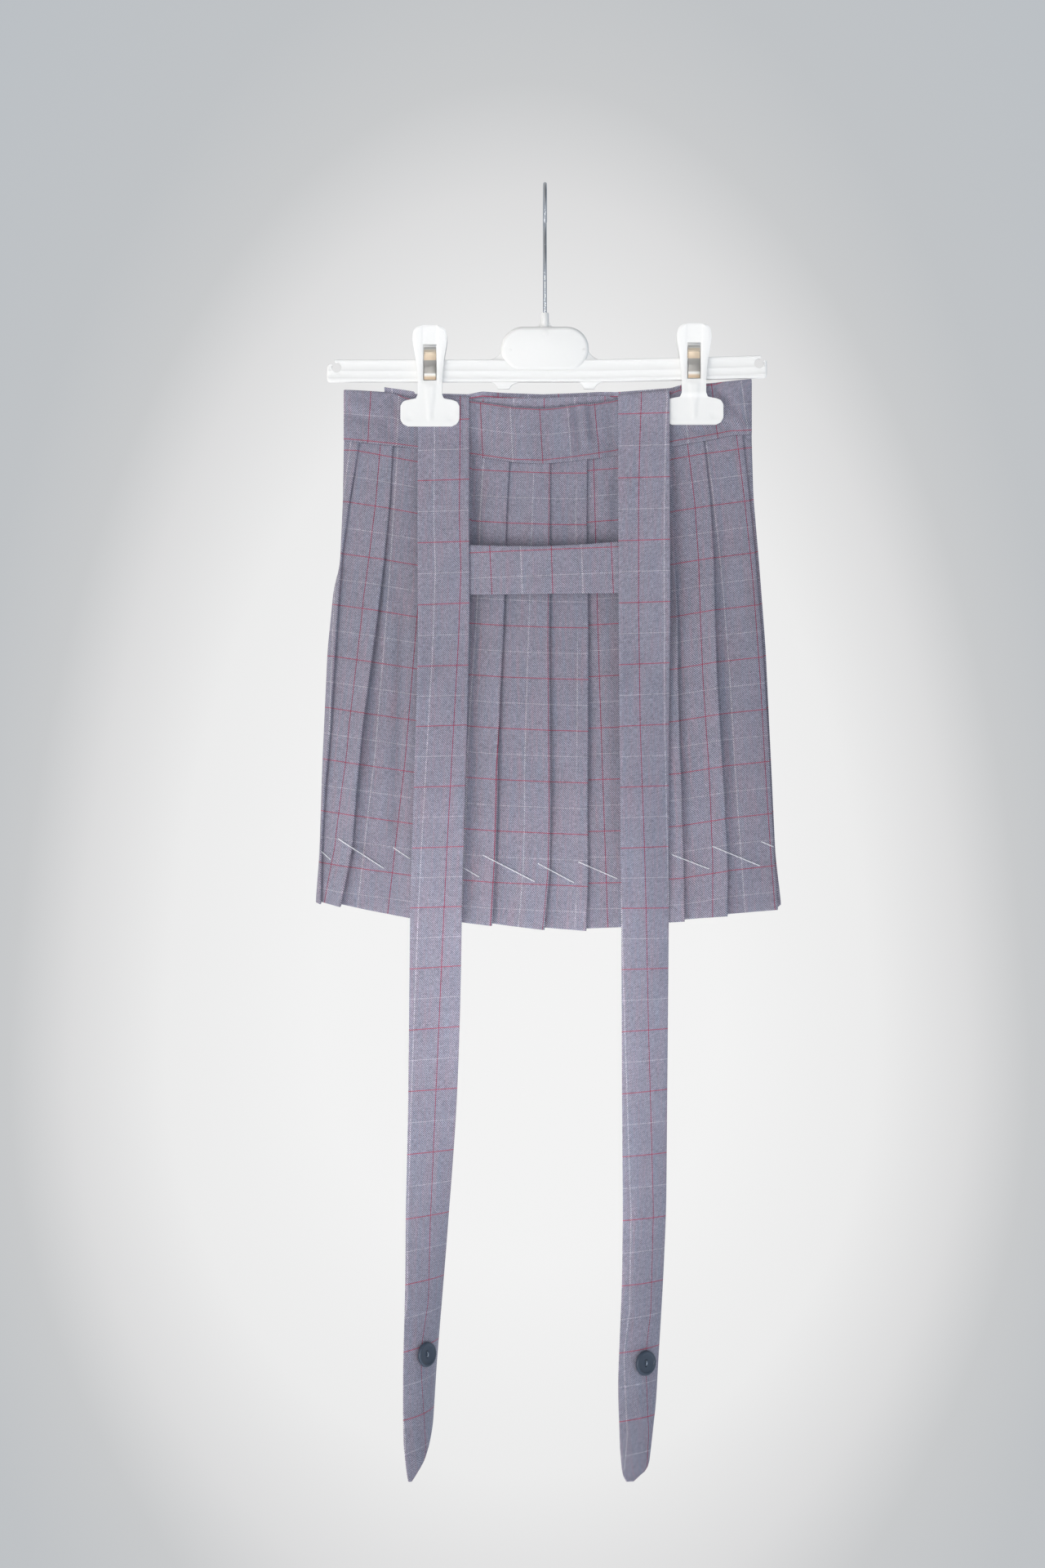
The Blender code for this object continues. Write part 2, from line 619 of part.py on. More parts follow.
def cross_band(left_grid, right_grid):
    """The band across the chest, standing forward a little between the straps."""
    left_x, right_x = CROSS_ROWS[1].x, CROSS_ROWS[-2].x
    grid = []
    for step in range(CROSS_DROP_STEPS + 1):
        down = step / CROSS_DROP_STEPS
        line = []
        for row in CROSS_ROWS:
            z = row.top_z + (row.bottom_z - row.top_z) * down
            ends = strap_y(left_grid, min(row.x, left_x), z), strap_y(right_grid, max(row.x, right_x), z)
            straps_y = float(np.interp(row.x, (left_x, right_x), ends))
            line.append(Vector((row.x, straps_y + CROSS_BEHIND - row.forward, z)))
        grid.append(line)
    outer, inner = grid_walls(grid, CROSS_WALL)
    return walled_sheet("cross_band", outer, inner, "strap_cloth")


def spun(name, profile, sides, finish):
    """A closed turned shape about its own Z axis, from rings given as (radius, height)."""
    points = []
    faces = []
    for radius, height in profile:
        for side in range(sides):
            angle = 2 * math.pi * side / sides
            points.append((radius * math.cos(angle), radius * math.sin(angle), height))
    rings = len(profile)
    for ring in range(rings - 1):
        for side in range(sides):
            after = (side + 1) % sides
            above = (ring + 1) * sides
            faces.append((ring * sides + side, ring * sides + after, above + after, above + side))
    faces.append(tuple(range(sides)))
    faces.append(tuple((rings - 1) * sides + side for side in reversed(range(sides))))
    return add_mesh(name, points, faces, finish)


def helper(item):
    """Keeps a cutter or a joined piece out of the part."""
    item.hide_render = True
    item.display_type = "WIRE"
    return item


def combine(target, other, operation):
    change = target.modifiers.new(f"{operation.lower()}_{other.name}", "BOOLEAN")
    change.operation = operation
    change.solver = "EXACT"
    change.object = helper(other)


def button(side, grid):
    """A dished button with a raised rim and two holes, on the outer face of its strap."""
    z, across = BUTTON_ROWS[side]
    rows = grid[FOLD_STEPS + 1:]
    heights = [row[0].z for row in rows]
    index = max(i for i, height in enumerate(heights) if height >= z)
    share = (heights[index] - z) / (heights[index] - heights[index + 1])

    def across_row(row, where):
        spot = where * STRAP_COLUMNS
        first = min(int(spot), STRAP_COLUMNS - 1)
        return row[first].lerp(row[first + 1], spot - first)

    middle = across_row(rows[index], across).lerp(across_row(rows[index + 1], across), share)
    width_way = (across_row(rows[index], across + 0.2) - across_row(rows[index], across - 0.2)).normalized()
    down_way = (across_row(rows[index + 1], across) - across_row(rows[index], across)).normalized()
    normal = width_way.cross(down_way).normalized()
    if normal.y > 0:
        normal = -normal
    turned = [(BUTTON_RADIUS - inset, height) for inset, height in BUTTON_PROFILE]
    made = spun(f"button_{side}", turned, BUTTON_SIDES, "dark_button")
    upright = -down_way
    sideways = upright.cross(normal)
    seat = middle + normal * (STRAP_WALL / 2 + GAP)
    turn = Matrix((sideways, upright, normal)).transposed().to_4x4()
    made.matrix_world = Matrix.Translation(seat * MM) @ turn
    for name, up in (("upper", BUTTON_HOLE_APART / 2), ("lower", -BUTTON_HOLE_APART / 2)):
        bore = [(BUTTON_HOLE_RADIUS, end) for end in BUTTON_HOLE_ENDS]
        hole = spun(f"hole_{side}_{name}", bore, BUTTON_HOLE_SIDES, "dark_button")
        hole.matrix_world = made.matrix_world @ Matrix.Translation((0, up * MM, 0))
        combine(made, hole, "DIFFERENCE")
    return made


def extruded(name, outline, half_depth, finish="white_plastic"):
    """A plate whose outline is (x, z) points, evenly thick about y = 0."""
    count = len(outline)
    points = [(x, -half_depth, z) for x, z in outline] + [(x, half_depth, z) for x, z in outline]
    faces = [tuple(range(count)), tuple(count + i for i in reversed(range(count)))]
    for i in range(count):
        after = (i + 1) % count
        faces.append((i, i + count, after + count, after))
    return add_mesh(name, points, faces, finish)


def bar_rise(x):
    """How far the bar's right end stands above a level bar."""
    along = max(x - BAR_RISE_FROM, 0) / (BAR_RIGHT - BAR_RISE_FROM)
    return BAR_RISE * along ** BAR_RISE_POWER


def bar_body():
    """The bar itself: a beam with shallow channels along both faces."""
    face, web = BAR_HALF_DEPTH, BAR_WEB_HALF
    ledges = (0, *BAR_LEDGES, BAR_TOP - BAR_BOTTOM)
    front = []
    for index, (upper, lower) in enumerate(zip(ledges, ledges[1:])):
        out = face if index % 2 == 0 else web
        front += [(out, BAR_TOP - upper), (out, BAR_TOP - lower)]
    section = [(-out, z) for out, z in front] + [(out, z) for out, z in reversed(front)]
    count = len(section)
    points = [(x, y, z + bar_rise(x)) for x in BAR_STATIONS for y, z in section]
    last = (len(BAR_STATIONS) - 1) * count
    faces = [tuple(range(count)), tuple(last + i for i in reversed(range(count)))]
    for station in range(len(BAR_STATIONS) - 1):
        for i in range(count):
            after = (i + 1) % count
            faces.append((
                station * count + i, station * count + after,
                (station + 1) * count + after, (station + 1) * count + i,
            ))
    return add_mesh("hanger_bar", points, faces, "white_plastic")


def stadium(centre, width, height, steps):
    """The outline of a plate with round ends."""
    radius = height / 2
    reach = width / 2 - radius
    outline = []
    for side, first in ((1, -90), (-1, 90)):
        for step in range(steps + 1):
            angle = math.radians(first + 180 * step / steps)
            outline.append((
                centre[0] + side * reach + radius * math.cos(angle), centre[1] + radius * math.sin(angle)
            ))
    return outline


def notch_cutter(name, centre, lean_degrees):
    """A round notch with a slot slanting up and out through the top of the bar."""
    x, z = centre
    half = NOTCH_SLOT / 2
    lean = math.radians(lean_degrees)
    along = (math.cos(lean), math.sin(lean))
    across = (-along[1], along[0])
    open_half = math.asin(half / NOTCH_RADIUS)
    outline = []
    for step in range(NOTCH_STEPS + 1):
        angle = lean + open_half + (2 * math.pi - 2 * open_half) * step / NOTCH_STEPS
        outline.append((x + NOTCH_RADIUS * math.cos(angle), z + NOTCH_RADIUS * math.sin(angle)))
    for sign in (-1, 1):
        outline.append((
            x + along[0] * NOTCH_REACH + across[0] * half * sign,
            z + along[1] * NOTCH_REACH + across[1] * half * sign,
        ))
    return extruded(name, outline, BAR_HALF_DEPTH + 2)


def hanger():
    """The hanger's one moulding: bar, oval plate, shoulders, lugs, neck and notched ends."""
    bar = bar_body()
    oval = stadium(OVAL_CENTRE, OVAL_WIDTH, OVAL_HEIGHT, OVAL_ARC_STEPS)
    combine(bar, extruded("oval_plate", oval, OVAL_HALF_DEPTH), "UNION")
    left_side = [(NECK_X - out, BAR_TOP + up) for out, up in reversed(SHOULDER_OUTLINE)]
    right_side = [(NECK_X + out, BAR_TOP + up) for out, up in SHOULDER_OUTLINE]
    combine(bar, extruded("shoulder", right_side + left_side, SHOULDER_HALF_DEPTH), "UNION")
    for index, (top_left, top_right, low_left, low_right) in enumerate(LUGS):
        lug = [(top_left, BAR_BOTTOM + 1), (top_right, BAR_BOTTOM + 1), (low_right, LUG_BOTTOM),
               (low_left, LUG_BOTTOM)]
        combine(bar, extruded(f"lug_{index}", lug, LUG_HALF_DEPTH), "UNION")
    gusset = [(NECK_X - GUSSET_LOW_HALF, NECK_BOTTOM), (NECK_X + GUSSET_LOW_HALF, NECK_BOTTOM),
              (NECK_X + GUSSET_TOP_HALF, GUSSET_TOP), (NECK_X - GUSSET_TOP_HALF, GUSSET_TOP)]
    combine(bar, extruded("gusset", gusset, GUSSET_HALF_DEPTH), "UNION")
    neck_profile = [(NECK_RADIUS, NECK_BOTTOM - 1), (NECK_RADIUS, NECK_TOP)]
    neck = spun("neck", neck_profile, NECK_SIDES, "white_plastic")
    neck.location.x = NECK_X * MM
    combine(bar, neck, "UNION")
    bore_radius = WIRE_RADIUS + GAP
    bore_profile = [(bore_radius, NECK_TOP - WIRE_INSIDE_NECK - GAP), (bore_radius, NECK_TOP + 1)]
    bore = spun("bore", bore_profile, BORE_SIDES, "white_plastic")
    bore.location.x = NECK_X * MM
    combine(bar, bore, "DIFFERENCE")
    combine(bar, notch_cutter("left_notch", LEFT_NOTCH, 180 - NOTCH_LEAN), "DIFFERENCE")
    combine(bar, notch_cutter("right_notch", RIGHT_NOTCH, NOTCH_LEAN), "DIFFERENCE")
    return bar


def hook_route():
    """The wire's middle line in its own plane, as (y, z), from the tip over the bend to the neck."""
    radius = HOOK_INNER_RADIUS + WIRE_RADIUS
    centre_z = -HOOK_INNER_RADIUS
    start = 180 + math.degrees(math.asin(HOOK_TIP_BELOW_CENTRE / radius))
    route = []
    for step in range(HOOK_ARC_STEPS + 1):
        angle = math.radians(start + (HOOK_BACK_ANGLE - start) * step / HOOK_ARC_STEPS)
        route.append((radius * math.cos(angle), centre_z + radius * math.sin(angle)))
    y, z = route[-1]
    lean = -math.radians(HOOK_BACK_ANGLE)
    y -= HOOK_STRAIGHT * math.sin(lean)
    z -= HOOK_STRAIGHT * math.cos(lean)
    route.append((y, z))
    bend_radius = y / (1 - math.cos(lean))
    for step in range(1, HOOK_BEND_STEPS + 1):
        angle = lean * (1 - step / HOOK_BEND_STEPS)
        route.append((
            bend_radius * (1 - math.cos(angle)), z - bend_radius * (math.sin(lean) - math.sin(angle))
        ))
    route.append((0.0, NECK_TOP - WIRE_INSIDE_NECK))
    return route


def hook():
    """The steel wire, a bevelled curve."""
    curve = bpy.data.curves.new("hook", "CURVE")
    curve.dimensions = "3D"
    curve.bevel_depth = WIRE_RADIUS * MM
    curve.bevel_resolution = WIRE_SIDES_RESOLUTION
    curve.use_fill_caps = True
    curve.materials.append(material("hook_steel"))
    route = hook_route()
    spline = curve.splines.new("POLY")
    spline.points.add(len(route) - 1)
    for point, (y, z) in zip(spline.points, route):
        point.co = (NECK_X * MM, y * MM, z * MM, 1)
    made = bpy.data.objects.new("hook", curve)
    bpy.context.collection.objects.link(made)
    return made


def jaw(name, clip_x, rise, side, foot_inner):
    """One jaw of a clip: handle, neck with its window, and wide foot, as a bent plate."""
    columns = (-1.0, -0.5, 0.5, 1.0)
    points = []
    for number, row in enumerate(JAW_ROWS):
        inner = row.inner
        if side > 0:
            inner = max(inner, REAR_INNER)
        elif number >= FOOT_FROM_ROW:
            inner = foot_inner
        y = side * (inner + JAW_WALL / 2)
        for column in columns:
            in_window = WINDOW_ROWS[0] <= number <= WINDOW_ROWS[1]
            reach = WINDOW_HALF * 2 * abs(column) if abs(column) < 1 else row.half
            if abs(column) < 1 and not in_window:
                reach = min(WINDOW_HALF, row.half * JAW_RIB_SHARE)
            points.append((clip_x + math.copysign(reach, column), y, row.z + rise))
    faces = []
    for row in range(len(JAW_ROWS) - 1):
        for column in range(3):
            if column == 1 and WINDOW_ROWS[0] <= row < WINDOW_ROWS[1]:
                continue
            first = row * 4 + column
            faces.append((first, first + 1, first + 5, first + 4))
    made = add_mesh(name, points, faces, "white_plastic")
    wall = made.modifiers.new("wall", "SOLIDIFY")
    wall.thickness = JAW_WALL * MM
    wall.offset = 0
    wall.use_even_offset = False
    return made


def spring(name, clip_x, rise):
    """The clip's spring: a flat strip up one window, over the bar and down the other."""
    front = [(-out, z) for z, out in SPRING_LEG_OUT]
    top = [(-SPRING_TOP_HALF, SPRING_TOP_Z), (SPRING_TOP_HALF, SPRING_TOP_Z)]
    route = [*front, *top, *[(-y, z) for y, z in reversed(front)]]
    grid = [
        [Vector((clip_x + side * SPRING_HALF, y, z + rise)) for side in (-1, 1)] for y, z in route
    ]
    outer, inner = grid_walls(grid, SPRING_WALL)
    return walled_sheet(name, outer, inner, "spring_steel")


def clips():
    for side, clip_x, rise, foot in (("left", LEFT_CLIP_X, LEFT_CLIP_RISE, JAW_ROWS[-1].inner),
                                     ("right", RIGHT_CLIP_X, RIGHT_CLIP_RISE, RIGHT_FOOT_INNER)):
        jaw(f"clip_{side}_front", clip_x, rise, -1, foot)
        jaw(f"clip_{side}_rear", clip_x, rise, 1, foot)
        spring(f"spring_{side}", clip_x, rise)


def main():
    clear_scene()
    skirt_front()
    skirt_back()
    band_half("waistband_front", FRONT_TOP, FRONT_PINCH, "front")
    band_half("waistband_back", BACK_TOP, BACK_PINCH, "back")
    underlap()
    left_grid = strap("left", LEFT_STRAP, LEFT_FOLD_TOP_Z, 0.0)
    right_grid = strap("right", RIGHT_STRAP, RIGHT_FOLD_TOP_Z, RIGHT_FOLD_SLANT)
    cross_band(left_grid, right_grid)
    button("left", left_grid)
    button("right", right_grid)
    hanger()
    hook()
    clips()


main()
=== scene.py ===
"""The look of a child's pleated check skirt with two hanging straps, held by a clip hanger.

Tables and shapes are in millimetres and are turned into metres when a mesh is made. X runs to the
viewer's right, Z up, and the front of the skirt faces -Y. "Depth" is the distance from the middle
of the flat tube of cloth towards whoever looks at that side of it. Each cloth piece has two UV
maps: "weave" is the cloth's own surface in millimetres, and "check" counts the lines of its check,
with a red line at every whole number and a white one at every half.
"""

import math
from collections import namedtuple

import bmesh
import bpy
import numpy as np
from bpy.props import FloatProperty, FloatVectorProperty, IntProperty, PointerProperty
from mathutils import Matrix, Vector
from mathutils.bvhtree import BVHTree


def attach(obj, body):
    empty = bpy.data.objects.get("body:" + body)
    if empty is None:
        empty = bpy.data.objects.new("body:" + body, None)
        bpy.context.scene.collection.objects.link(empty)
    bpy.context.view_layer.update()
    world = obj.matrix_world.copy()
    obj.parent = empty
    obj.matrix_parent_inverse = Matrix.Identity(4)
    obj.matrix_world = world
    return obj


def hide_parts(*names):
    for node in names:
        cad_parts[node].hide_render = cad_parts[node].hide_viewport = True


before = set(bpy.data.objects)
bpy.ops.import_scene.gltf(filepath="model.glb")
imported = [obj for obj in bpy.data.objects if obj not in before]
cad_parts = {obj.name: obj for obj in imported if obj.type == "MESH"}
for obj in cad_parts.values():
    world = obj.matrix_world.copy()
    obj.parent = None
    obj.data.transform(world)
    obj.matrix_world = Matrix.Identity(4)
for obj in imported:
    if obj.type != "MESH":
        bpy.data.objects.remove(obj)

bl_info = {
    "name": "Pleated Skirt On A Clip Hanger",
    "version": (1, 0, 0),
    "blender": (4, 5, 0),
    "location": "3D View > Sidebar > Skirt",
    "description": "Builds the cloth, buttons, hanger and studio of a pleated suspender skirt",
    "category": "Object",
}

MM = 0.001

# The tube of cloth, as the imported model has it
PLEAT_PITCH = 1.3
PRESSED_FLAT, PRESSED_DOWN_TO = 0.66, 0.35
FIRST_PLEAT_BULGE = 0.72
LIFT_POWER = 2.2
CLOTH_MIDDLE_Y = 2.0
SIDE_DEPTH = 0.2
LEAST_DEPTH = 0.65
Level = namedtuple("Level", "share left right depth mouth")
LEVELS = (
    Level(0.000, -137.8, 142.2, 5.6, 3.5),
    Level(0.130, -138.5, 143.4, 7.2, 3.2),
    Level(0.274, -140.6, 147.4, 8.6, 2.6),
    Level(0.313, -144.6, 148.4, 9.0, 2.4),
    Level(0.451, -149.0, 151.8, 10.2, 2.0),
    Level(0.699, -152.6, 155.6, 11.6, 1.0),
    Level(0.894, -154.6, 158.6, 12.6, 0.4),
    Level(1.000, -157.2, 162.6, 13.4, 0.0),
)
TUBE_ROUNDNESS = 6
CORNER_DEPTH = 1.7
SIDE_INSET, SIDE_ROUND = 0.5, 0.15
KNEE_INSET = 0.9
WAIST_UNDERLAY, HEM_UNDERLAY = 0.42, 0.60
SEAM_GAP = 0.12
SEAM = ((-137.8, -174.7), (-120.4, -176.4), (-86.8, -180.3), (-50.4, -185.1), (-21.3, -189.8),
        (-1.1, -191.0), (19.6, -189.0), (49.8, -185.1), (86.8, -178.9), (111.4, -174.7),
        (127.7, -171.1), (142.2, -170.2))

# The front's free pleat edges: x at nine even shares of the way down, then how far each edge
# stands off the cloth below it, at LIFT_SHARES
FOLD_SHARES = tuple(step / 8 for step in range(9))
LIFT_SHARES = (0.0, 0.2, 0.45, 0.7, 0.84, 0.93, 1.0)
Fold = namedtuple("Fold", "edge hem_z lift")
FRONT_FOLDS = (
    Fold((-127.2, -133.7, -139.0, -141.9, -144.5, -147.0, -150.4, -152.8, -153.4), -492.2,
         (0.0, 0.3, 0.7, 0.6, 0.3, 0.7, 1.2)),
    Fold((-104.7, -106.8, -110.7, -115.3, -120.5, -125.8, -129.5, -132.7, -140.6), -493.9,
         (0.0, 0.6, 2.4, 3.2, 1.6, 2.6, 3.6)),
    Fold((-76.7, -78.5, -80.3, -82.1, -83.9, -85.7, -87.5, -89.1, -90.7), -501.8,
         (0.0, 0.3, 0.5, 0.8, 0.3, 1.0, 1.8)),
    Fold((-50.4, -50.9, -51.5, -52.8, -54.3, -55.7, -57.2, -58.5, -59.9), -505.7,
         (0.0, 0.2, 0.9, 1.2, 0.5, 1.2, 1.8)),
    Fold((-24.7, -27.0, -27.8, -29.3, -31.3, -32.7, -33.4, -34.6, -37.0), -506.8,
         (0.0, 0.2, 0.9, 1.8, 0.9, 1.9, 3.0)),
    Fold((3.4, 2.9, 2.6, 2.3, 2.6, 2.9, 3.3, 2.5, -1.1), -509.6,
         (0.0, 0.25, 1.0, 1.5, 0.7, 1.6, 3.0)),
    Fold((28.6, 28.1, 28.8, 29.1, 29.1, 29.0, 28.6, 29.0, 27.4), -510.2,
         (0.0, 0.2, 0.7, 1.1, 0.6, 1.2, 2.0)),
    Fold((55.4, 56.6, 57.8, 58.6, 59.3, 60.1, 60.8, 61.5, 62.2), -507.4,
         (0.0, 0.3, 0.3, 0.5, 0.3, 0.6, 1.0)),
    Fold((85.7, 86.8, 88.6, 90.3, 90.3, 91.4, 93.0, 94.1, 94.6), -504.0,
         (0.0, 0.3, 1.9, 2.4, 1.1, 1.9, 2.7)),
    Fold((108.4, 112.8, 115.0, 115.7, 117.1, 119.5, 122.1, 124.2, 124.0), -500.4,
         (0.1, 0.9, 2.4, 2.8, 1.2, 2.3, 3.2)),
    Fold((135.0, 139.5, 143.4, 146.6, 149.8, 152.3, 154.4, 156.5, 159.0), -496.2,
         (0.0, 0.2, 0.4, 0.3, 0.2, 0.4, 0.8)),
)
HEM_ENDS_Z = (-491.1, -492.8)
HEM_STEP = 1.5
PANEL_LENGTH = 330.0
PANEL_RIM_SHARE = 0.0016
PLEAT_WEAVE_STEP = 70.0
CREASES_FROM = 0.04

# Where the check's lines cross each pleat: the z of row 0 at its left and right, of the last row at
# its left and right; then how far left of the free edge its red line runs at CHECK_SHARES, and the
# white one where the cloth under it is not cut to the even spacing
CHECK_SHARES = (0.0, 0.33, 0.67, 1.0)
ROW_COUNT = 8
PleatCheck = namedtuple("PleatCheck", "row_ends red white")
FRONT_CHECK = (
    PleatCheck((-180.9, -181.4, -463.1, -463.7), (26.0, 24.0, 20.0, 17.0), None),
    PleatCheck((-181.4, -185.9, -463.7, -466.5), (7.8, 10.6, 9.6, 13.6), None),
    PleatCheck((-185.9, -191.0, -466.5, -472.6), (3.0, 5.0, 9.0, 16.8), None),
    PleatCheck((-191.0, -193.8, -472.6, -474.9), (8.0, 8.0, 8.0, 9.0), None),
    PleatCheck((-194.3, -196.0, -475.4, -477.1), (-4.0, -3.0, 0.0, 0.0), (17.0, 17.8, 20.8, 20.8)),
    PleatCheck((-196.0, -197.1, -477.1, -478.8), (0.2, 0.2, 0.2, 0.4), (10.5, 12.8, 17.0, 17.2)),
    PleatCheck((-197.1, -197.1, -478.8, -479.9), (27.0, 27.4, 27.6, 27.0), (6.8, 6.8, 6.8, 6.8)),
    PleatCheck((-195.4, -193.2, -477.7, -477.1), (21.8, 22.2, 20.7, 19.0), None),
    PleatCheck((-192.6, -187.9, -476.6, -474.3), (30.0, 31.0, 31.5, 32.0), None),
    PleatCheck((-187.6, -183.7, -474.3, -469.6), (10.4, 9.4, 8.8, 9.6), None),
    PleatCheck((-183.7, -180.0, -469.3, -465.9), (3.4, 2.2, 2.6, 1.2), None),
    PleatCheck((-179.8, -179.2, -465.4, -464.2), (16.0, 16.0, 16.0, 16.0), None),
)
ACROSS_SPACING, ALONG_SPACING = 41.7, 35.06

# Soft troughs (negative) and ridges in the cloth: both ends, half width and height
Crease = namedtuple("Crease", "x0 z0 x1 z1 width height")


def crease_table(*rows):
    """A piece's creases, from a row of numbers for each."""
    return tuple(Crease(*row) for row in rows)


FRONT_CREASES = crease_table(
    (-96, -186, -98, -236, 7, 0.7), (-112, -262, -117, -330, 6, -0.9), (-115, -345, -123, -452, 5, -1.7),
    (-131, -300, -140, -420, 7, 0.9), (-104, -300, -112, -440, 6, 0.8), (-128, -198, -133, -250, 6, 0.6),
    (-38, -196, -40, -236, 6, -0.5), (-12, -200, -14, -232, 7, 0.6), (16, -198, 15, -240, 5, -0.5),
    (40, -198, 42, -232, 6, 0.5), (-20, -300, -22, -420, 7, 0.8), (-43, -310, -46, -430, 5, -0.8),
    (16, -296, 14, -430, 6, 0.6), (8, -330, 9, -440, 4, -0.6), (41, -300, 44, -440, 6, 0.7),
    (33, -320, 34, -430, 4, -0.6), (96, -200, 99, -262, 6, 0.8), (92, -262, 97, -300, 5, -0.9),
    (104, -280, 108, -430, 6, 0.8), (122, -236, 127, -330, 5, -1.5), (127, -340, 131, -452, 5, -1.7),
    (138, -250, 144, -400, 6, 0.8), (-146, -262, -149, -300, 5, -0.7), (150, -262, 152, -310, 5, -0.6),
    (-120, -470, -124, -490, 7, 0.9), (-22, -484, -20, -504, 8, 1.0), (110, -480, 112, -498, 8, 0.9),
    (12, -482, 14, -506, 5, -0.7), (-97, -290, -101, -480, 4.5, -1.4), (-47.5, -290, -50, -490, 3.5, -1.6),
    (-47.5, -195, -47.5, -240, 3.5, -1.2), (48, -195, 48, -240, 3, -0.9),
    (88, -280, 89.5, -480, 3.2, -1.5), (95, -300, 99, -450, 4, -0.9), (-42, -243, 42, -243, 9, -2.4),
)

# The back: how far its free edges are from even spacing, in pleat widths; its hem, ends and lifts;
# and how far left of each free edge the red line runs
BACK_SHIFTS = (0.0, 0.10, -0.06, 0.08, -0.10, 0.05, 0.12, -0.08, 0.04, -0.05, 0.0)
BACK_HEM_RISE = 2.4
BACK_FIRST_SHARE = 0.03
BACK_LAST_INSET = 4.2
BACK_LIFTS = (0.5, 1.3, 0.8, 1.7, 0.6, 1.1, 1.9, 0.9, 1.4, 0.7, 0.5)
BACK_LIFT_SHAPE = (0.0, 0.4, 0.9, 0.8, 0.3, 0.8, 1.4)
BACK_RED = (24.0, 9.0, 14.0, 2.0, 19.0, 11.0, 26.0, 6.0, 16.0, 3.0, 12.0, 16.0)
BACK_ROW_0_Z, BACK_LAST_ROW_Z = -180, -464
BACK_CREASES = crease_table(
    (-118, -210, -124, -300, 7, 0.8), (-98, -300, -104, -430, 5, -1.0), (-66, -200, -68, -262, 6, -0.7),
    (-58, -330, -62, -450, 7, 0.9), (-24, -220, -22, -330, 6, 0.8), (-6, -340, -8, -440, 4, -0.9),
    (30, -210, 33, -280, 6, -0.7), (44, -320, 48, -450, 6, 0.8), (84, -230, 88, -330, 5, -0.8),
    (102, -340, 108, -440, 7, 0.9), (128, -240, 134, -360, 6, 0.7), (10, -484, 12, -504, 8, 0.9),
)

# The waistband's layers: top edges as x and z, and how deep each lies where it is held flat
FRONT_TOP = ((-137.8, -139.5), (-110.3, -141.2), (-104.5, -141.8), (-98.5, -143.7), (-88.0, -146.8),
             (-50.4, -147.0), (-37.5, -149.0), (-21.3, -151.8), (-1.1, -153.0), (11.2, -151.8),
             (23.5, -149.6), (35.3, -149.0), (49.3, -146.2), (84.0, -142.4), (92.0, -139.2),
             (111.4, -135.5), (141.1, -132.2))
UNDERLAP_TOP = ((-109.8, -137.8), (-95.0, -139.9), (-89.5, -140.8), (-87.2, -146.8), (-52.0, -146.8),
                (-44.0, -145.4), (-1.1, -145.7), (18.5, -144.8), (44.0, -143.6), (50.0, -146.4),
                (70.0, -144.6))
BACK_TOP = ((-137.8, -140.6), (-110.3, -142.3), (-68.3, -142.0), (-52.0, -142.4), (-43.1, -140.4),
            (-31.9, -140.8), (-1.1, -141.7), (35.3, -140.6), (49.3, -140.9), (86.8, -138.1),
            (93.0, -136.2), (111.4, -135.0), (141.1, -132.8))
BAND_WALL = 1.8
BAND_HEIGHT = 35
BAND_COLUMNS = 200
BAND_CREASE_SHARE = 0.8
UNDERLAP_WALL = 1.0
UNDERLAP_SPAN = (-109.8, 64.0)
UNDERLAP_DROP = 27.0
UNDERLAP_SHIFT = 500
BAND_SIDE_DEPTH = 1.4
FRONT_PINCH, BACK_PINCH, UNDERLAP_PINCH = 3.75, 1.15, 2.05
UNDERLAP_FOLLOWS = 0.85
HELD_SPANS = ((-104.0, -50.0), (49.0, 127.0))
HELD_FADE = 24.0
HELD_DOWN_TO = 0.74
BAND_FRONT_CREASES = crease_table(
    (-132, -156, -121, -160, 3.5, -2.2), (-134, -149, -124, -152, 3.5, 1.4),
    (-104, -146, -101, -154, 3, -1.6), (-114, -160, -96, -157, 3.5, -1.0),
    (-116, -166, -106, -176, 4, 1.0), (22, -155, 24, -178, 2.6, -2.4), (31, -153, 33.5, -170, 2.4, -2.2),
    (27, -156, 28.5, -176, 2.2, 1.5), (14, -158, 15, -180, 4, 0.8), (-30, -160, -26, -182, 6, 0.7),
    (2, -158, 4, -186, 6, -0.7), (-46, -150, -46, -183, 3, -1.6), (119, -140, 131, -151, 3.2, -2.4),
    (124, -157, 138, -165, 4, 1.5), (128, -147, 139, -152, 3, 1.2), (110, -166, 124, -160, 4, -1.0),
    (46, -152, 46.5, -183, 3, -1.2),
)
BAND_BACK_CREASES = crease_table(
    (-110, -150, -104, -166, 5, -1.4), (-60, -156, -56, -176, 6, 1.0), (-20, -152, -16, -172, 5, -1.2),
    (24, -158, 28, -180, 7, 1.0), (66, -150, 70, -168, 4, -1.3), (104, -148, 112, -160, 5, -1.2),
)
# Upright red lines on the band: x at the top edge and at the seam, one row for each whole number
BAND_REDS = ((-160.0, -162.0), (-119.0, -121.0), (-80.5, -82.0), (-43.7, -42.0), (-3.4, -1.1),
             (34.2, 37.5), (76.0, 78.5), (114.2, 118.7), (155.0, 160.0))
BACK_BAND_REDS = tuple((-116.0 + 41.9 * step,) * 2 for step in range(-2, 8))
# Cross red lines on the band: x and the share of the way down from the band's top edge
BAND_BOTTOM_RED = ((-138, 0.955), (-50, 0.965), (0, 0.93), (50, 0.905), (142, 0.92))
BAND_TOP_RED = ((-142, -0.03), (-104, -0.03), (-97, 0.025), (116, 0.03), (128, -0.03), (142, -0.03))
BACK_TOP_RED = ((-142, 0.07), (142, 0.07))

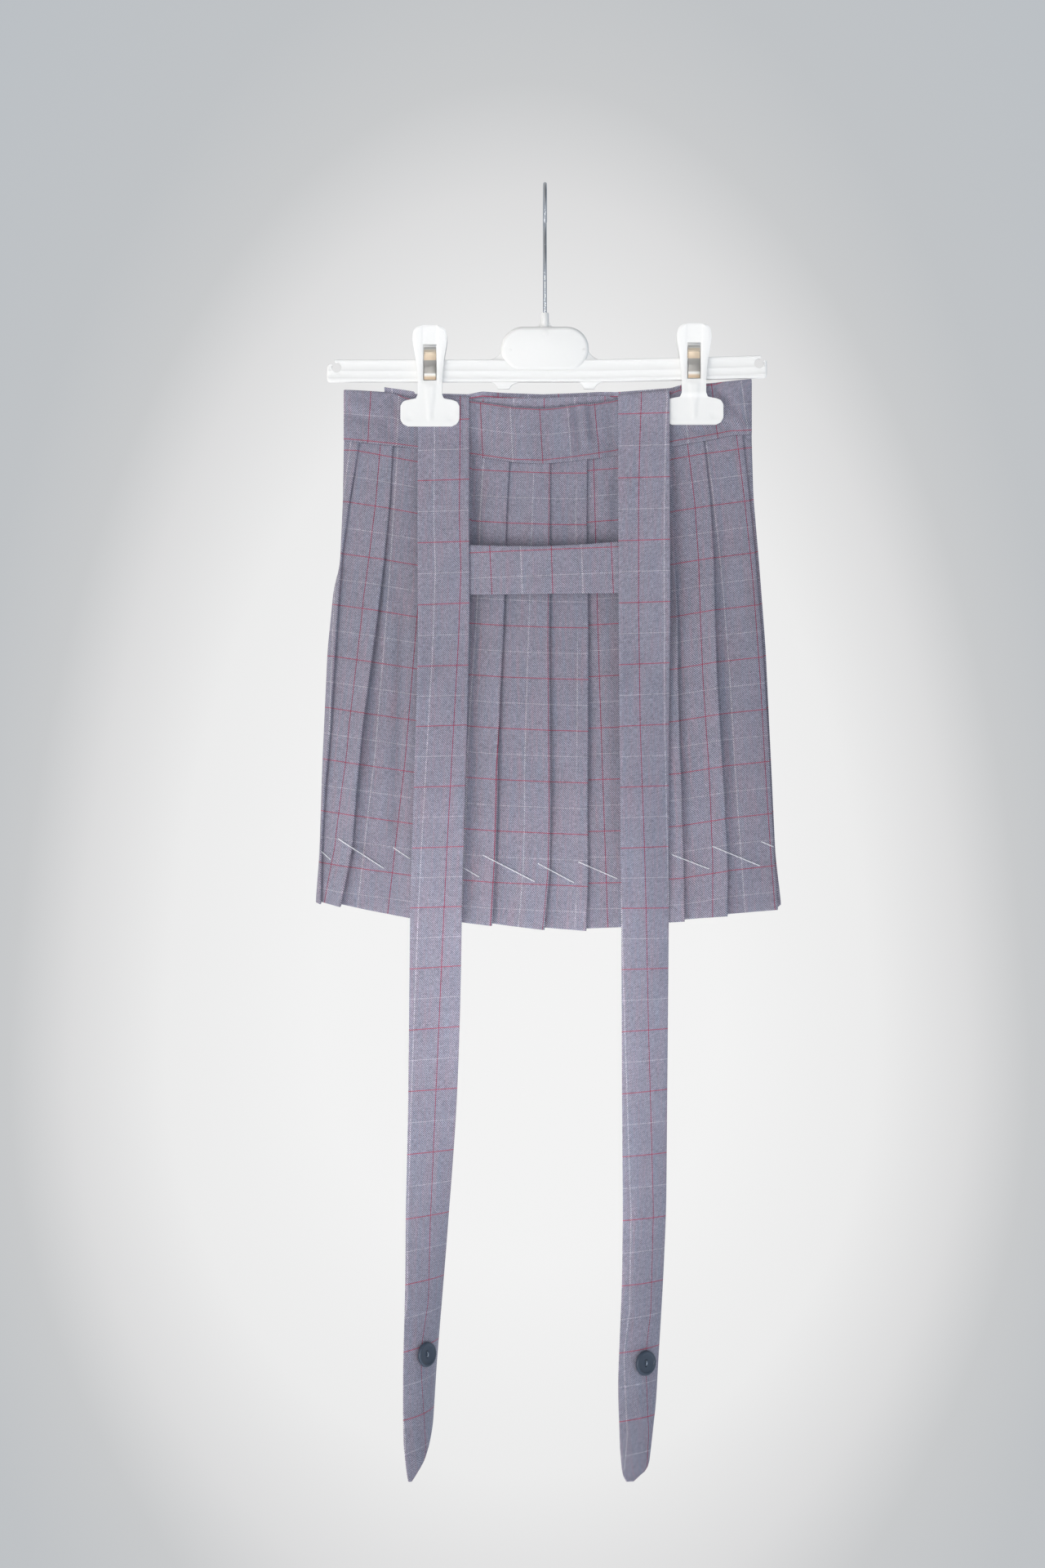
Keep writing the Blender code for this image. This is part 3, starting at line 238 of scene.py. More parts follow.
# Straps, one StrapRow for each height of the front run: z, left edge, width, depth, and by how many
# degrees the strap's face is turned to the viewer's right at its left and right edge
StrapRow = namedtuple("StrapRow", "z left width depth turn_left turn_right")
LEFT_STRAP = (
    (-147.5, -86.8, 35.3, 5.65, 0, 0), (-165.5, -86.8, 35.3, 5.65, 0, 0), (-173.0, -86.8, 35.3, 7.0, 0, 0),
    (-182.0, -86.8, 35.3, 9.0, 0, 0), (-192.0, -86.8, 35.3, 10.9, 1, -1),
    (-205.0, -86.8, 35.3, 12.6, 2, -2), (-235.0, -86.8, 35.3, 15.2, 4, -4),
    (-284.0, -86.6, 35.3, 17.8, 4, 0), (-310.0, -86.4, 35.3, 19.5, 10, 8),
    (-350.0, -87.2, 35.3, 21.2, 12, 10), (-400.0, -88.8, 35.3, 20.6, 8, 6),
    (-450.0, -90.4, 35.3, 19.4, 4, 2), (-494.0, -91.8, 35.3, 18.6, 2, 0),
    (-540.0, -92.2, 35.3, 18.6, 10, 6), (-590.0, -92.7, 35.3, 19.5, 18, 12),
    (-640.0, -93.2, 35.3, 21.0, 20, 28), (-700.0, -94.6, 35.3, 23.0, 22, 46),
    (-750.0, -94.9, 35.3, 25.5, 24, 62), (-807.0, -96.3, 35.3, 28.0, 24, 76),
    (-841.0, -96.3, 35.3, 29.5, 24, 84), (-860.5, -95.8, 24.0, 30.0, 24, 65),
    (-871.4, -94.6, 15.3, 30.4, 24, 50), (-878.7, -93.7, 8.0, 30.6, 24, 38),
    (-884.2, -92.7, 2.4, 30.8, 24, 28),
)
RIGHT_STRAP = (
    (-146.0, 50.4, 35.3, 5.65, -4.4, -4.4), (-165.5, 50.4, 35.3, 6.0, -4.2, -4.2),
    (-173.0, 50.4, 35.3, 7.4, -3, -3), (-182.0, 50.4, 35.3, 9.3, -1, -1),
    (-192.0, 50.4, 35.3, 11.2, 0, -1), (-205.0, 50.4, 35.3, 12.8, 1, -2),
    (-235.0, 50.4, 35.3, 15.2, 2, -4), (-284.0, 50.5, 35.3, 17.6, 2, 0), (-310.0, 50.6, 35.3, 19.2, 4, 10),
    (-350.0, 50.9, 35.3, 22.4, 10, 18), (-400.0, 51.3, 35.3, 25.0, 12, 24),
    (-450.0, 51.8, 35.3, 27.4, 14, 28), (-494.0, 52.1, 35.3, 28.8, 14, 30),
    (-540.0, 52.3, 35.3, 28.2, 14, 34), (-590.0, 52.5, 35.3, 27.4, 14, 38),
    (-640.0, 52.7, 35.3, 27.0, 14, 42), (-700.0, 53.2, 35.3, 27.0, 14, 48),
    (-750.0, 52.6, 35.3, 27.4, 14, 56), (-818.0, 49.8, 35.3, 28.0, 14, 62),
    (-830.0, 50.1, 33.4, 28.2, 14, 59), (-845.5, 50.7, 29.0, 28.4, 14, 53),
    (-861.5, 51.2, 25.3, 28.6, 14, 48), (-872.0, 52.1, 22.0, 28.7, 14, 43),
    (-877.3, 52.6, 19.0, 28.8, 14, 39), (-880.8, 53.6, 12.0, 28.8, 14, 30),
    (-884.4, 55.6, 5.0, 28.8, 14, 20),
)
STRAP_WALL, STRAP_RIM = 1.2, 0.6
# Strap materials, painted paler as painted light, and the slant of their twill
STRAP_CLOTHS = {"left": ("strap twill, falling left", 1.0), "right": ("strap twill, falling right", -1.0)}
TAIL_PINCH = 0.7
TAIL_BOTTOM_Z = -170.0
FOLD_HEIGHT = 2.0
STRAP_FOLD_TOP = {"left": (-144.4, 0.0), "right": (-143.2, 0.10)}
STRAP_ROWS = {
    "left": [StrapRow(*row) for row in LEFT_STRAP],
    "right": [StrapRow(*row) for row in RIGHT_STRAP],
}
# Heights of the red cross lines at a strap's left and right edge, and x of its upright red line
STRAP_REDS = {
    "left": ((-202.7, -245.3, -287.8, -329.8, -370.7, -412.2, -453.6, -494.4, -536.1, -577.8, -619.5,
              -662.4, -706.3, -750.7, -796.3, -842.5, -889.1),
             (-201.6, -244.2, -286.2, -328.7, -369.6, -411.0, -452.5, -493.4, -533.9, -575.6, -617.9,
              -660.1, -702.9, -746.3, -789.6, -835.8, -882.5)),
    "right": ((-156.5, -200.8, -243.9, -286.4, -328.7, -370.7, -412.2, -453.6, -494.4, -536.1, -578.4,
               -620.7, -663.5, -706.8, -751.3, -796.9, -843.6, -890.8),
              (-155.7, -199.9, -242.8, -285.3, -327.0, -369.0, -411.0, -452.5, -494.5, -535.6, -577.0,
               -618.4, -661.8, -705.2, -749.0, -793.5, -840.8, -888.0)),
}
STRAP_UPRIGHT_RED = {
    "left": ((-141.1, -57.7), (-230.7, -58.2), (-264.3, -57.1), (-309.1, -58.8), (-370.7, -62.2),
             (-453.0, -66.6), (-537.0, -70.6), (-621.0, -74.5), (-708.4, -78.4), (-762.7, -79.8),
             (-790.7, -84.0), (-810.3, -84.6), (-857.9, -81.8), (-887.6, -82.0)),
    "right": ((-141.1, 66.6), (-181.4, 65.0), (-222.9, 64.2), (-286.7, 64.1), (-370.7, 65.0),
              (-453.0, 67.8), (-495.0, 68.9), (-579.0, 70.6), (-656.3, 72.8), (-701.1, 73.9),
              (-768.3, 72.2), (-796.3, 68.9), (-813.1, 68.9), (-852.3, 70.6), (-887.6, 68.9)),
}
STRAP_CREASES = {
    "left": crease_table(
        (-80, -330, -60, -352, 9, 0.7), (-70, -430, -72, -520, 8, -0.5), (-84, -600, -78, -640, 8, 0.6),
        (-86, -690, -84, -760, 6, -0.6), (-88, -820, -86, -862, 4, 0.5),
    ),
    "right": crease_table(
        (62, -300, 78, -330, 9, -0.5), (66, -420, 68, -500, 8, 0.5), (74, -560, 70, -640, 7, -0.5),
        (60, -700, 62, -770, 6, 0.5), (60, -826, 61, -870, 3, -0.4),
    ),
}

# The band across the chest
CrossRow = namedtuple("CrossRow", "x top_z bottom_z forward")
CROSS_ROWS = (
    CrossRow(-62.0, -245.9, -280.4, 0.0),
    CrossRow(-49.5, -246.5, -280.6, 0.0),
    CrossRow(-30.0, -247.2, -280.4, 1.2),
    CrossRow(-1.1, -247.5, -280.0, 1.9),
    CrossRow(25.0, -246.2, -279.8, 1.5),
    CrossRow(48.4, -244.3, -279.6, 0.0),
    CrossRow(61.0, -243.9, -279.4, 0.0),
)
CROSS_HEIGHT, CROSS_WALL = 34, 1.4
CROSS_BEHIND = (STRAP_WALL + CROSS_WALL) / 2 + 0.4
CROSS_REDS = ((-81.0, -79.5), (-37.5, -35.8), (4.5, 5.6), (45.4, 47.0), (87.0, 88.5))
CROSS_TOP_RED, CROSS_RED_LEAN = -250.0, 0.04

# Basting threads over the pleats: both ends of each, and the two that the straps cover
BASTING = (
    (-153.4, -455.8, -146.2, -462.0), (-141.1, -447.4, -109.8, -467.6), (-104.2, -453.0, -91.3, -461.4),
    (-56.0, -467.0, -44.2, -473.8), (-42.0, -458.6, -6.7, -476.6), (-4.5, -464.2, 20.7, -477.7),
    (23.0, -463.1, 50.4, -474.9), (86.8, -458.1, 113.1, -468.2), (114.8, -452.5, 147.3, -465.9),
    (147.8, -449.1, 157.0, -453.0),
)
HIDDEN_BASTING = ((-88.0, -458.0, -60.0, -472.0), (54.0, -461.0, 84.0, -470.0))
BACK_BASTING_COUNT, BACK_BASTING_X, BACK_BASTING_STEP, BACK_BASTING_REACH = 8, -134, 34.0, 28
BACK_BASTING_Z, BACK_BASTING_FALL, BACK_BASTING_SAG = -452, 14, 9
THREAD_STEP = 0.0009
# Stitches that hold a strap's tail: shares across it, their heights, and the cross row below them
TAIL_STITCH_SHARES, TAIL_STITCH_ZS = (0.08, 0.92), (-168.0, -152.0)
TAIL_CROSS_REACHES, TAIL_CROSS_Z = (3, 32), -167.6
STITCH_SHARE, STITCH_RADIUS = 0.8, 0.00025

# Buttons: z and share of the way across the strap; then the turned profile, as how far inside the
# rim and how high
BUTTON_PLACES = {"left": (-799.0, 0.50), "right": (-804.6, 0.55)}
BUTTON_RADIUS = 8.7
BUTTON_PROFILE = ((1.7, 0.0), (0.9, 0.15), (0.35, 0.6), (0.0, 1.3), (0.1, 2.0), (0.45, 2.6), (0.95, 2.95),
                  (1.5, 3.0), (2.0, 2.85), (2.3, 2.45), (2.7, 2.2), (3.3, 2.1), (4.0, 1.95), (5.2, 1.8),
                  (6.6, 1.75), (8.2, 1.75))
BUTTON_HOLE_RADIUS = 0.9
BUTTON_HOLE_APART = 3.4
# A button's thread, for each offset to the side: share of the offset, up, and height above the seat
BUTTON_THREAD_OFFSETS, BUTTON_THREAD_RADIUS = (-0.35, 0.0, 0.35), 0.2
BUTTON_THREAD = ((1.0, -1.7, -0.2), (1.0, -1.75, 1.2), (0.8, -1.2, 2.25), (0.7, 0, 2.5),
                 (0.8, 1.2, 2.25), (1.0, 1.75, 1.2), (1.0, 1.7, -0.2))

# Hanger: the bar's ledges are drops from its top, and its right end rises a little
BAR_LEFT, BAR_RIGHT = -149.0, 152.3
BAR_TOP, BAR_BOTTOM = -119.2, -134.4
BAR_FACE, BAR_WEB, BAR_ROUND = 4.0, 3.87, 0.6
# The bar's softened ends: how far in, and the section's size there
BAR_ENDS = ((0, 0.80), (0.3, 0.90), (0.9, 0.965), (1.8, 1.0))
BAR_LEDGES = (1.8, 7.4, 8.4, 12.6)
BAR_RISE, BAR_RISE_FROM, BAR_RISE_POWER = 3.0, 20.0, 1.5
# A notch: its round part as steps, first angle and turn in degrees, then its mouth, outwards and up
# from its middle, over the end's rounded tip and back above the bar
NOTCH_RADIUS = 3.4
NOTCH_STEPS, NOTCH_FROM, NOTCH_ROUND = 27, 71, 319
NOTCH_MOUTH = ((3.5, 2.1), (4.6, 2.15), (5.6, 1.5), (6.3, 0.4), (6.9, -1.4), (11, -1.4), (11, 11), (1.1, 11))
NOTCHES = ((-142.5, -124.7, -1), (147.1, -121.8, 1))
OVAL_CENTRE = (0.3, -111.7)
OVAL_WIDTH, OVAL_HEIGHT, OVAL_HALF_DEPTH, OVAL_ROUND = 60.0, 30.2, 5.2, 2.6
LUGS = ((-38.0, -15.0, -32.0, -24.0), (22.0, 41.5, 27.0, 34.2))
LUG_BOTTOM = -139.2
# Marks on the oval plate: x, z, radius and height
PIPS = ((-23.4, -112.9, 0.9, 0.3), (26.6, -112.6, 0.9, 0.3), (0.5, -101.0, 2.2, 0.12))
NECK_X = 0.3
NECK_TOP, NECK_BOTTOM, NECK_RADIUS = -86.8, -98.4, 2.7

# Hook
WIRE_RADIUS = 1.35
HOOK_INNER_RADIUS = 20.0
HOOK_TIP_BELOW_CENTRE = 7.0
HOOK_BACK_ANGLE = -52.0
HOOK_STRAIGHT = 3.0
WIRE_INSIDE_NECK = 8.0
# The wire's rounded tip: how far beyond the end of its bend, and the share of its radius there
HOOK_TIP = ((0.9, 0.35), (0.75, 0.66), (0.45, 0.88), (0.1, 0.98))

# Clips: a jaw's rows as z, half width, and how far its inner face is from the bar's middle
JAW_ROWS = (
    (-96.5, 4.0, 11.2), (-96.65, 5.6, 11.15), (-96.9, 7.0, 11.1), (-97.4, 8.3, 10.95), (-98.1, 9.4, 10.7),
    (-99.1, 10.4, 10.45), (-100.3, 11.1, 10.1), (-101.7, 11.5, 9.7), (-103.5, 11.75, 9.3),
    (-106.4, 11.8, 8.6), (-109.2, 11.4, 7.8), (-118.7, 9.8, 5.6), (-126.0, 9.0, 4.5), (-133.8, 8.4, 4.45),
    (-143.0, 8.3, 4.45), (-146.2, 9.6, 4.45), (-146.9, 15.0, 4.45), (-148.2, 18.4, 4.45),
    (-151.0, 20.2, 4.45), (-160.6, 20.2, 4.45), (-163.6, 18.4, 4.45), (-165.2, 15.0, 4.45),
)
JAW_WALL = 2.4
WINDOW_HALF, WINDOW_TOP, WINDOW_BOTTOM = 4.6, -109.2, -133.8
FOOT_FROM_Z = -143.0
REAR_INNER = 4.5
# The jaw's mesh: z of its rows, and shares of the way over its middle and out to its edge
JAW_HEIGHTS = (
    -96.5, -96.65, -96.9, -97.4, -98.1, -99.1, *np.linspace(-100.3, WINDOW_TOP, 8),
    *np.linspace(-111, WINDOW_BOTTOM, 15), *np.linspace(-135, -143.0, 7), *np.linspace(-144, -149, 14),
    *np.linspace(-150, -161, 11), *np.linspace(-162, -165.2, 12),
)
JAW_MIDDLE_COLUMNS = np.linspace(-1, 1, 9)
JAW_OUTER_COLUMNS = (0.08, 0.18, 0.3, 0.42, 0.54, 0.66, 0.78, 0.88, 0.95, 1.0)
SPINE_TOP_Z, SPINE_BOTTOM_Z, SPINE_HALF, SPINE_TAPER, SPINE_RISE = -135, -163, 4.4, 2.8, 0.55
WINDOW_RIM_RISE = 0.35
DIMPLE_XS, DIMPLE_Z, DIMPLE_RADIUS, DIMPLE_DROP = (-14.2, 14.2), -158.8, 3.0, 0.32
# Each clip's x, how far it stands above the left one, and the front foot's own inner face
CLIPS = {"left": (-78.5, 0.0, 4.45), "right": (102.3, 1.3, 2.95)}
SPRING_WALL, SPRING_HALF, SPRING_ROUND = 0.8, 4.1, 1.3
SPRING_LEG = ((-133.2, 5.9), (-129.0, 6.3), (-124.0, 6.4), (-119.0, 7.4), (-114.5, 7.9), (-111.6, 6.6))
SPRING_TOP_Z, SPRING_TOP_HALF = -110.8, 2.6
# Painted reflections up a spring: colour bands that stand in for the warm and dark reflections and the
# highlight on its bends; where they start, how high they reach, and their shares and colours
SPRING_LOW_Z, SPRING_REFLECTIONS_HEIGHT = -134.5, 26.0
SPRING_REFLECTIONS = (
    (0.0, (0.72, 0.52, 0.34)), (0.10, (0.66, 0.46, 0.28)), (0.13, (0.80, 0.66, 0.52)),
    (0.17, (0.95, 0.93, 0.90)), (0.20, (0.95, 0.94, 0.92)), (0.23, (0.28, 0.27, 0.26)),
    (0.40, (0.24, 0.24, 0.24)), (0.55, (0.34, 0.33, 0.33)), (0.565, (0.80, 0.62, 0.44)),
    (0.72, (0.82, 0.66, 0.48)), (0.735, (0.62, 0.48, 0.34)), (0.76, (0.80, 0.66, 0.50)),
    (0.82, (0.78, 0.68, 0.55)), (0.85, (0.70, 0.70, 0.70)), (1.0, (0.74, 0.74, 0.74)),
)

# Painted light: how much paler each piece's cloth colour is painted than the panels', standing in for how
# brightly it is lit rather than for a different cloth
STRAP_PAINTED_LIGHT = 1.16
CROSS_PAINTED_LIGHT = 1.13
INSIDE_PAINTED_LIGHT = 1.95
UNDERLAP_PAINTED_LIGHT = 1.35
# Broad tints in the pale warp: scale and shift of their bands, strength and colour
WARP_TINTS = ((0.55, 0.0, 2.2, (0.60, 0.40, 0.48)), (0.31, 40.0, 1.6, (0.35, 0.41, 0.54)))
WARP_OWN_TINT, WEFT_OWN_TINT = (0.38, 0.40, 0.54), (0.055, 0.07, 0.13)
# The white lines' widths as shares of the red ones'
UPRIGHT_WHITE_SHARE, CROSS_WHITE_SHARE = 1.5, 0.65
CLOUDY_SHADE, SPECKLE_SHADE, SLUB_SHADE = 0.26, 0.50, 0.62

# Studio, in metres
Lamp = namedtuple("Lamp", "name place target size power colour spread")
LAMPS = (
    Lamp("key light", (-1.0, -1.15, -0.85), (-0.08, 0, -0.42), 0.8, "key_power", (1.0, 0.985, 0.955), 75),
    Lamp("strap light", (-0.1, -2.4, -0.75), (-0.02, 0, -0.60), 0.3, "strap_power", (1.0, 0.99, 0.98), 11),
    Lamp("hanger light", (-0.1, -2.4, 0.15), (0, 0, -0.02), 0.4, "hanger_power", (1.0, 1.0, 1.0), 9),
)
# Light from all round: how it weakens to the right and upwards, and its colours
LESS_AT_RIGHT, LESS_ABOVE = -0.36, -0.62
WARM_LEFT, COOL_RIGHT = (1.0, 0.99, 0.975), (0.80, 0.95, 1.12)
CAMERA_X, CAMERA_Z = -0.0151, -0.4099
# Painted light: the studio walls glow, in a pool brightest behind and below the skirt: its middle, its reach
# each way, and colours from its middle out
GLOW_CENTRE_X, GLOW_CENTRE_Z = -0.02, -0.90
GLOW_ACROSS, GLOW_ABOVE, GLOW_BELOW = 1.02, 1.95, 1.12
GLOW_STOPS = (
    (0.0, (0.95, 0.95, 0.95)), (0.20, (0.945, 0.945, 0.945)), (0.35, (0.885, 0.885, 0.885)),
    (0.44, (0.755, 0.755, 0.76)), (0.50, (0.61, 0.62, 0.63)), (0.58, (0.55, 0.57, 0.59)),
    (0.75, (0.52, 0.55, 0.58)),
)


class ClothSettings(bpy.types.PropertyGroup):
    yarn: FloatProperty(
        name="Yarn pitch", description="Width of one yarn of the twill, in millimetres",
        default=0.35, min=0.1, max=2.0)
    wall: FloatProperty(
        name="Pleat thickness", description="Thickness of one layer of pleated cloth, in millimetres",
        default=0.8, min=0.3, max=1.0)
    upright_width: FloatProperty(
        name="Upright line width", description="Width of a red upright line, in millimetres",
        default=0.50, min=0.2, max=3.0)
    cross_width: FloatProperty(
        name="Cross line width", description="Width of a red cross line, in millimetres",
        default=0.65, min=0.2, max=3.0)
    dark: FloatVectorProperty(
        name="Dark yarn", description="Colour of the slate-blue yarn", subtype="COLOR",
        size=3, min=0, max=1, default=(0.152, 0.157, 0.212))
    light: FloatVectorProperty(
        name="Light yarn", description="Colour of the lilac-white yarn", subtype="COLOR",
        size=3, min=0, max=1, default=(0.414, 0.394, 0.472))
    red: FloatVectorProperty(
        name="Red line", description="Colour of the red check lines", subtype="COLOR",
        size=3, min=0, max=1, default=(0.350, 0.030, 0.076))
    white: FloatVectorProperty(
        name="White line", description="Colour of the white check lines", subtype="COLOR",
        size=3, min=0, max=1, default=(0.82, 0.79, 0.84))
    pleat_steps: IntProperty(
        name="Pleat rows", description="Rows of faces down a pleated panel",
        default=60, min=12, max=90)


class TrimSettings(bpy.types.PropertyGroup):
    button: FloatVectorProperty(
        name="Button", description="Colour of the buttons", subtype="COLOR",
        size=3, min=0, max=1, default=(0.050, 0.071, 0.108))
    thread: FloatVectorProperty(
        name="Basting thread", description="Colour of the basting thread", subtype="COLOR",
        size=3, min=0, max=1, default=(0.78, 0.79, 0.83))
    thread_radius: FloatProperty(
        name="Thread radius", description="Radius of the basting thread",
        default=0.00036, min=0.0001, max=0.001, unit="LENGTH", precision=5)
    stitch_length: FloatProperty(
        name="Stitch length", description="Distance from one stitch to the next",
        default=0.0030, min=0.001, max=0.02, unit="LENGTH", precision=4)


class HangerSettings(bpy.types.PropertyGroup):
    plastic: FloatVectorProperty(
        name="Plastic", description="Colour of the moulded plastic", subtype="COLOR",
        size=3, min=0, max=1, default=(0.975, 0.975, 0.97))
    wire: FloatVectorProperty(
        name="Wire", description="Colour of the hook's steel", subtype="COLOR",
        size=3, min=0, max=1, default=(0.60, 0.62, 0.66))
    spring: FloatVectorProperty(
        name="Spring", description="Colour of the clips' springs", subtype="COLOR",
        size=3, min=0, max=1, default=(0.62, 0.57, 0.50))


class StageSettings(bpy.types.PropertyGroup):
    distance: FloatProperty(
        name="Camera distance", description="From the camera to the hanging skirt",
        default=3.2, min=0.5, max=20, unit="LENGTH")
    view_height: FloatProperty(
        name="View height", description="Height of the picture at the skirt",
        default=1.0752, min=0.2, max=5, unit="LENGTH")
    room_radius: FloatProperty(
        name="Studio radius", description="Radius of the round pale studio",
        default=6.5, min=3, max=30, unit="LENGTH")
    floor_z: FloatProperty(
        name="Floor height", description="Height of the studio floor",
        default=-1.9, min=-5, max=-1, unit="LENGTH")
    glow: FloatProperty(
        name="Studio glow", description="How strongly the studio's own light fills its walls",
        default=0.93, min=0, max=5)
    ambient: FloatProperty(
        name="Soft light", description="Strength of the light from all round",
        default=0.755, min=0, max=5)
    key_power: FloatProperty(
        name="Key light", description="Power of the large low light at the left, in watts",
        default=1.05, min=0, max=1000)
    strap_power: FloatProperty(
        name="Strap light", description="Power of the narrow light on the low straps, in watts",
        default=0.13, min=0, max=1000)
    hanger_power: FloatProperty(
        name="Hanger light", description="Power of the narrow light on the hanger, in watts",
        default=0.040, min=0, max=1000)


def settings(group):
    return getattr(bpy.context.scene, f"skirt_{group}")


def table_value(table, x):
    """A value read from rows of station and value, in rising order of station."""
    return np.interp(x, [row[0] for row in table], [row[1] for row in table])


def smooth_step(value):
    value = np.clip(value, 0.0, 1.0)
    return value * value * (3 - 2 * value)


def level_at(share, levels):
    """The tube's outline at a share of the way down, its corners softened."""
    reach = 0.02
    stations = [row.share for row in levels]
    spread = [min(max(share + offset * reach, 0.0), 1.0) for offset in (-1, -0.5, 0, 0.5, 1)]
    values = [
        float(np.mean([np.interp(at, stations, [row[field] for row in levels]) for at in spread]))
        for field in range(1, 5)
    ]
    return Level(share, *values)


def held_at(x):
    """1 where clips and straps hold the cloth flat, falling to 0 away from them."""
    away = min(max(start - x, x - end, 0.0) for start, end in HELD_SPANS)
    return 1 - smooth_step(away / HELD_FADE)


def mouth_at(x):
    """1 midway between the straps, where the open waist bulges, and 0 where the cloth is held."""
    start, end = HELD_SPANS[0][1], HELD_SPANS[1][0]
    along = (x - start) / (end - start)
    return math.sin(math.pi * along) ** 2 if 0 < along < 1 else 0.0


def tube_depth(x, level):
    """Depth of the outermost pleat edges at x."""
    middle = (level.left + level.right) / 2
    along = min(abs((x - middle) / ((level.right - level.left) / 2)), 1.0)
    fullness = math.sqrt(1 - along ** TUBE_ROUNDNESS)
    return LEAST_DEPTH + fullness * (level.depth + level.mouth * mouth_at(x))


def crease_depth(x, z, creases):
    """How far the listed creases lift or sink the cloth at each of these points."""
    moved = np.zeros_like(x)
    for crease in creases:
        run = np.array((crease.x1 - crease.x0, crease.z1 - crease.z0))
        along = ((x - crease.x0) * run[0] + (z - crease.z0) * run[1]) / (run @ run)
        along = np.clip(along, 0, 1)
        away = np.hypot(x - crease.x0 - along * run[0], z - crease.z0 - along * run[1])
        moved += crease.height * np.exp(-(away / crease.width) ** 2)
    return moved


def rim(distance, radius):
    """Share of a wall's thickness left at a distance from its rounded rim."""
    along = np.clip(np.asarray(distance, dtype=float) / radius, 0.0, 1.0)
    return 0.3 + 0.7 * np.sqrt(1 - (1 - along) ** 2)


def rimmed(count, rim_share):
    """Even stations from 0 to 1 with two more close to each end, for rounded rims."""
    inner = list(np.linspace(0, 1, count + 1)[1:-1])
    return [0.0, rim_share * 0.3, rim_share, *inner, 1 - rim_share, 1 - rim_share * 0.3, 1.0]


def linked(name, data):
    """A scene object that shows a mesh, curve, light or camera."""
    made = bpy.data.objects.new(name, data)
    bpy.context.collection.objects.link(made)
    return made


def new_mesh_piece(name, points, faces, finish, maps=None, sharp=45):
    """A shown piece from points in millimetres, with a UV map from each list of values by point."""
    mesh = bpy.data.meshes.new(name)
    mesh.from_pydata((np.asarray(points, dtype=float) * MM).tolist(), [], faces)
    for map_name, values in (maps or {}).items():
        layer = mesh.uv_layers.new(name=map_name)
        corners = np.empty(len(mesh.loops), dtype=np.int32)
        mesh.loops.foreach_get("vertex_index", corners)
        layer.data.foreach_set("uv", np.asarray(values, dtype=np.float32)[corners].ravel())
    mesh.materials.append(finish)
    made = linked(name, mesh)
    work = bmesh.new()
    work.from_mesh(mesh)
    bmesh.ops.recalc_face_normals(work, faces=work.faces)
    work.to_mesh(mesh)
    work.free()
    mesh.shade_smooth()
    if sharp:
        mesh.set_sharp_from_angle(angle=math.radians(sharp))
    return made


def ring_faces(rings, sides, closed_end=True):
    """Faces that join each ring of points to the one before it, and close the ends."""
    faces = []
    for here in range(0, (rings - 1) * sides, sides):
        for side in range(sides):
            after = (side + 1) % sides
            faces.append((here + side, here + after, here + sides + after, here + sides + side))
    faces.append(tuple(range(sides)))
    if closed_end:
        faces.append(tuple((rings - 1) * sides + side for side in range(sides)))
    return faces


def turned_points(profile, sides):
    """Rings of points round the Z axis, from their radii and heights."""
    points = []
    for radius, height in profile:
        for side in range(sides):
            angle = 2 * math.pi * side / sides
            points.append((radius * math.cos(angle), radius * math.sin(angle), height))
    return points


def grid_faces(rows, columns, skip=()):
    """Faces of both sides of a wall over a grid of points, closed round every open edge."""
    behind = rows * columns
    faces, used = [], set()
    for row in range(rows - 1):
        for column in range(columns - 1):
            if (row, column) in skip:
                continue
            first = row * columns + column
            face = (first, first + columns, first + columns + 1, first + 1)
            faces.append(face)
            faces.append(tuple(behind + corner for corner in reversed(face)))
            used.update(zip(face, face[1:] + face[:1]))
    for here, there in used:
        if (there, here) not in used:
            faces.append((there, here, behind + here, behind + there))
    return faces


def wall_piece(name, outer, inner, finish, maps=None, skip=(), sharp=45):
    """A closed wall between two grids of points."""
    rows, columns = outer.shape[:2]
    points = np.concatenate([outer.reshape(-1, 3), inner.reshape(-1, 3)])
    doubled = {key: np.concatenate([value.reshape(-1, 2)] * 2) for key, value in (maps or {}).items()}
    return new_mesh_piece(name, points, grid_faces(rows, columns, skip), finish, doubled, sharp)


def grid_normals(grid):
    """The grid's own normals, pointing towards whoever sees its rows run down and columns right."""
    across = np.gradient(grid, axis=1)
    down = np.gradient(grid, axis=0)
    normal = np.cross(down, across)
    return normal / np.maximum(np.linalg.norm(normal, axis=2, keepdims=True), 1e-9)


def cloth_piece(name, grid, wall, maps, finish):
    """A wall of cloth round a middle surface; wall may change over the grid."""
    normal = grid_normals(grid)
    half = np.broadcast_to(np.asarray(wall, dtype=float), grid.shape[:2])[..., None] / 2
    return wall_piece(name, grid + normal * half, grid - normal * half, finish, maps)


def arc_lengths(grid, axis):
    """How far each point of a grid is from the grid's start, along one of its directions."""
    steps = np.linalg.norm(np.diff(grid, axis=axis), axis=2)
    start = np.zeros_like(grid[:1, :, 0] if axis == 0 else grid[:, :1, 0])
    return np.concatenate([start, np.cumsum(steps, axis=axis)], axis=axis)


def weave_map(grid, shift=0):
    """The cloth's own surface over a grid of points, in millimetres from its first corner."""
    return np.stack([arc_lengths(grid, 1) + shift, -arc_lengths(grid, 0)], axis=2)


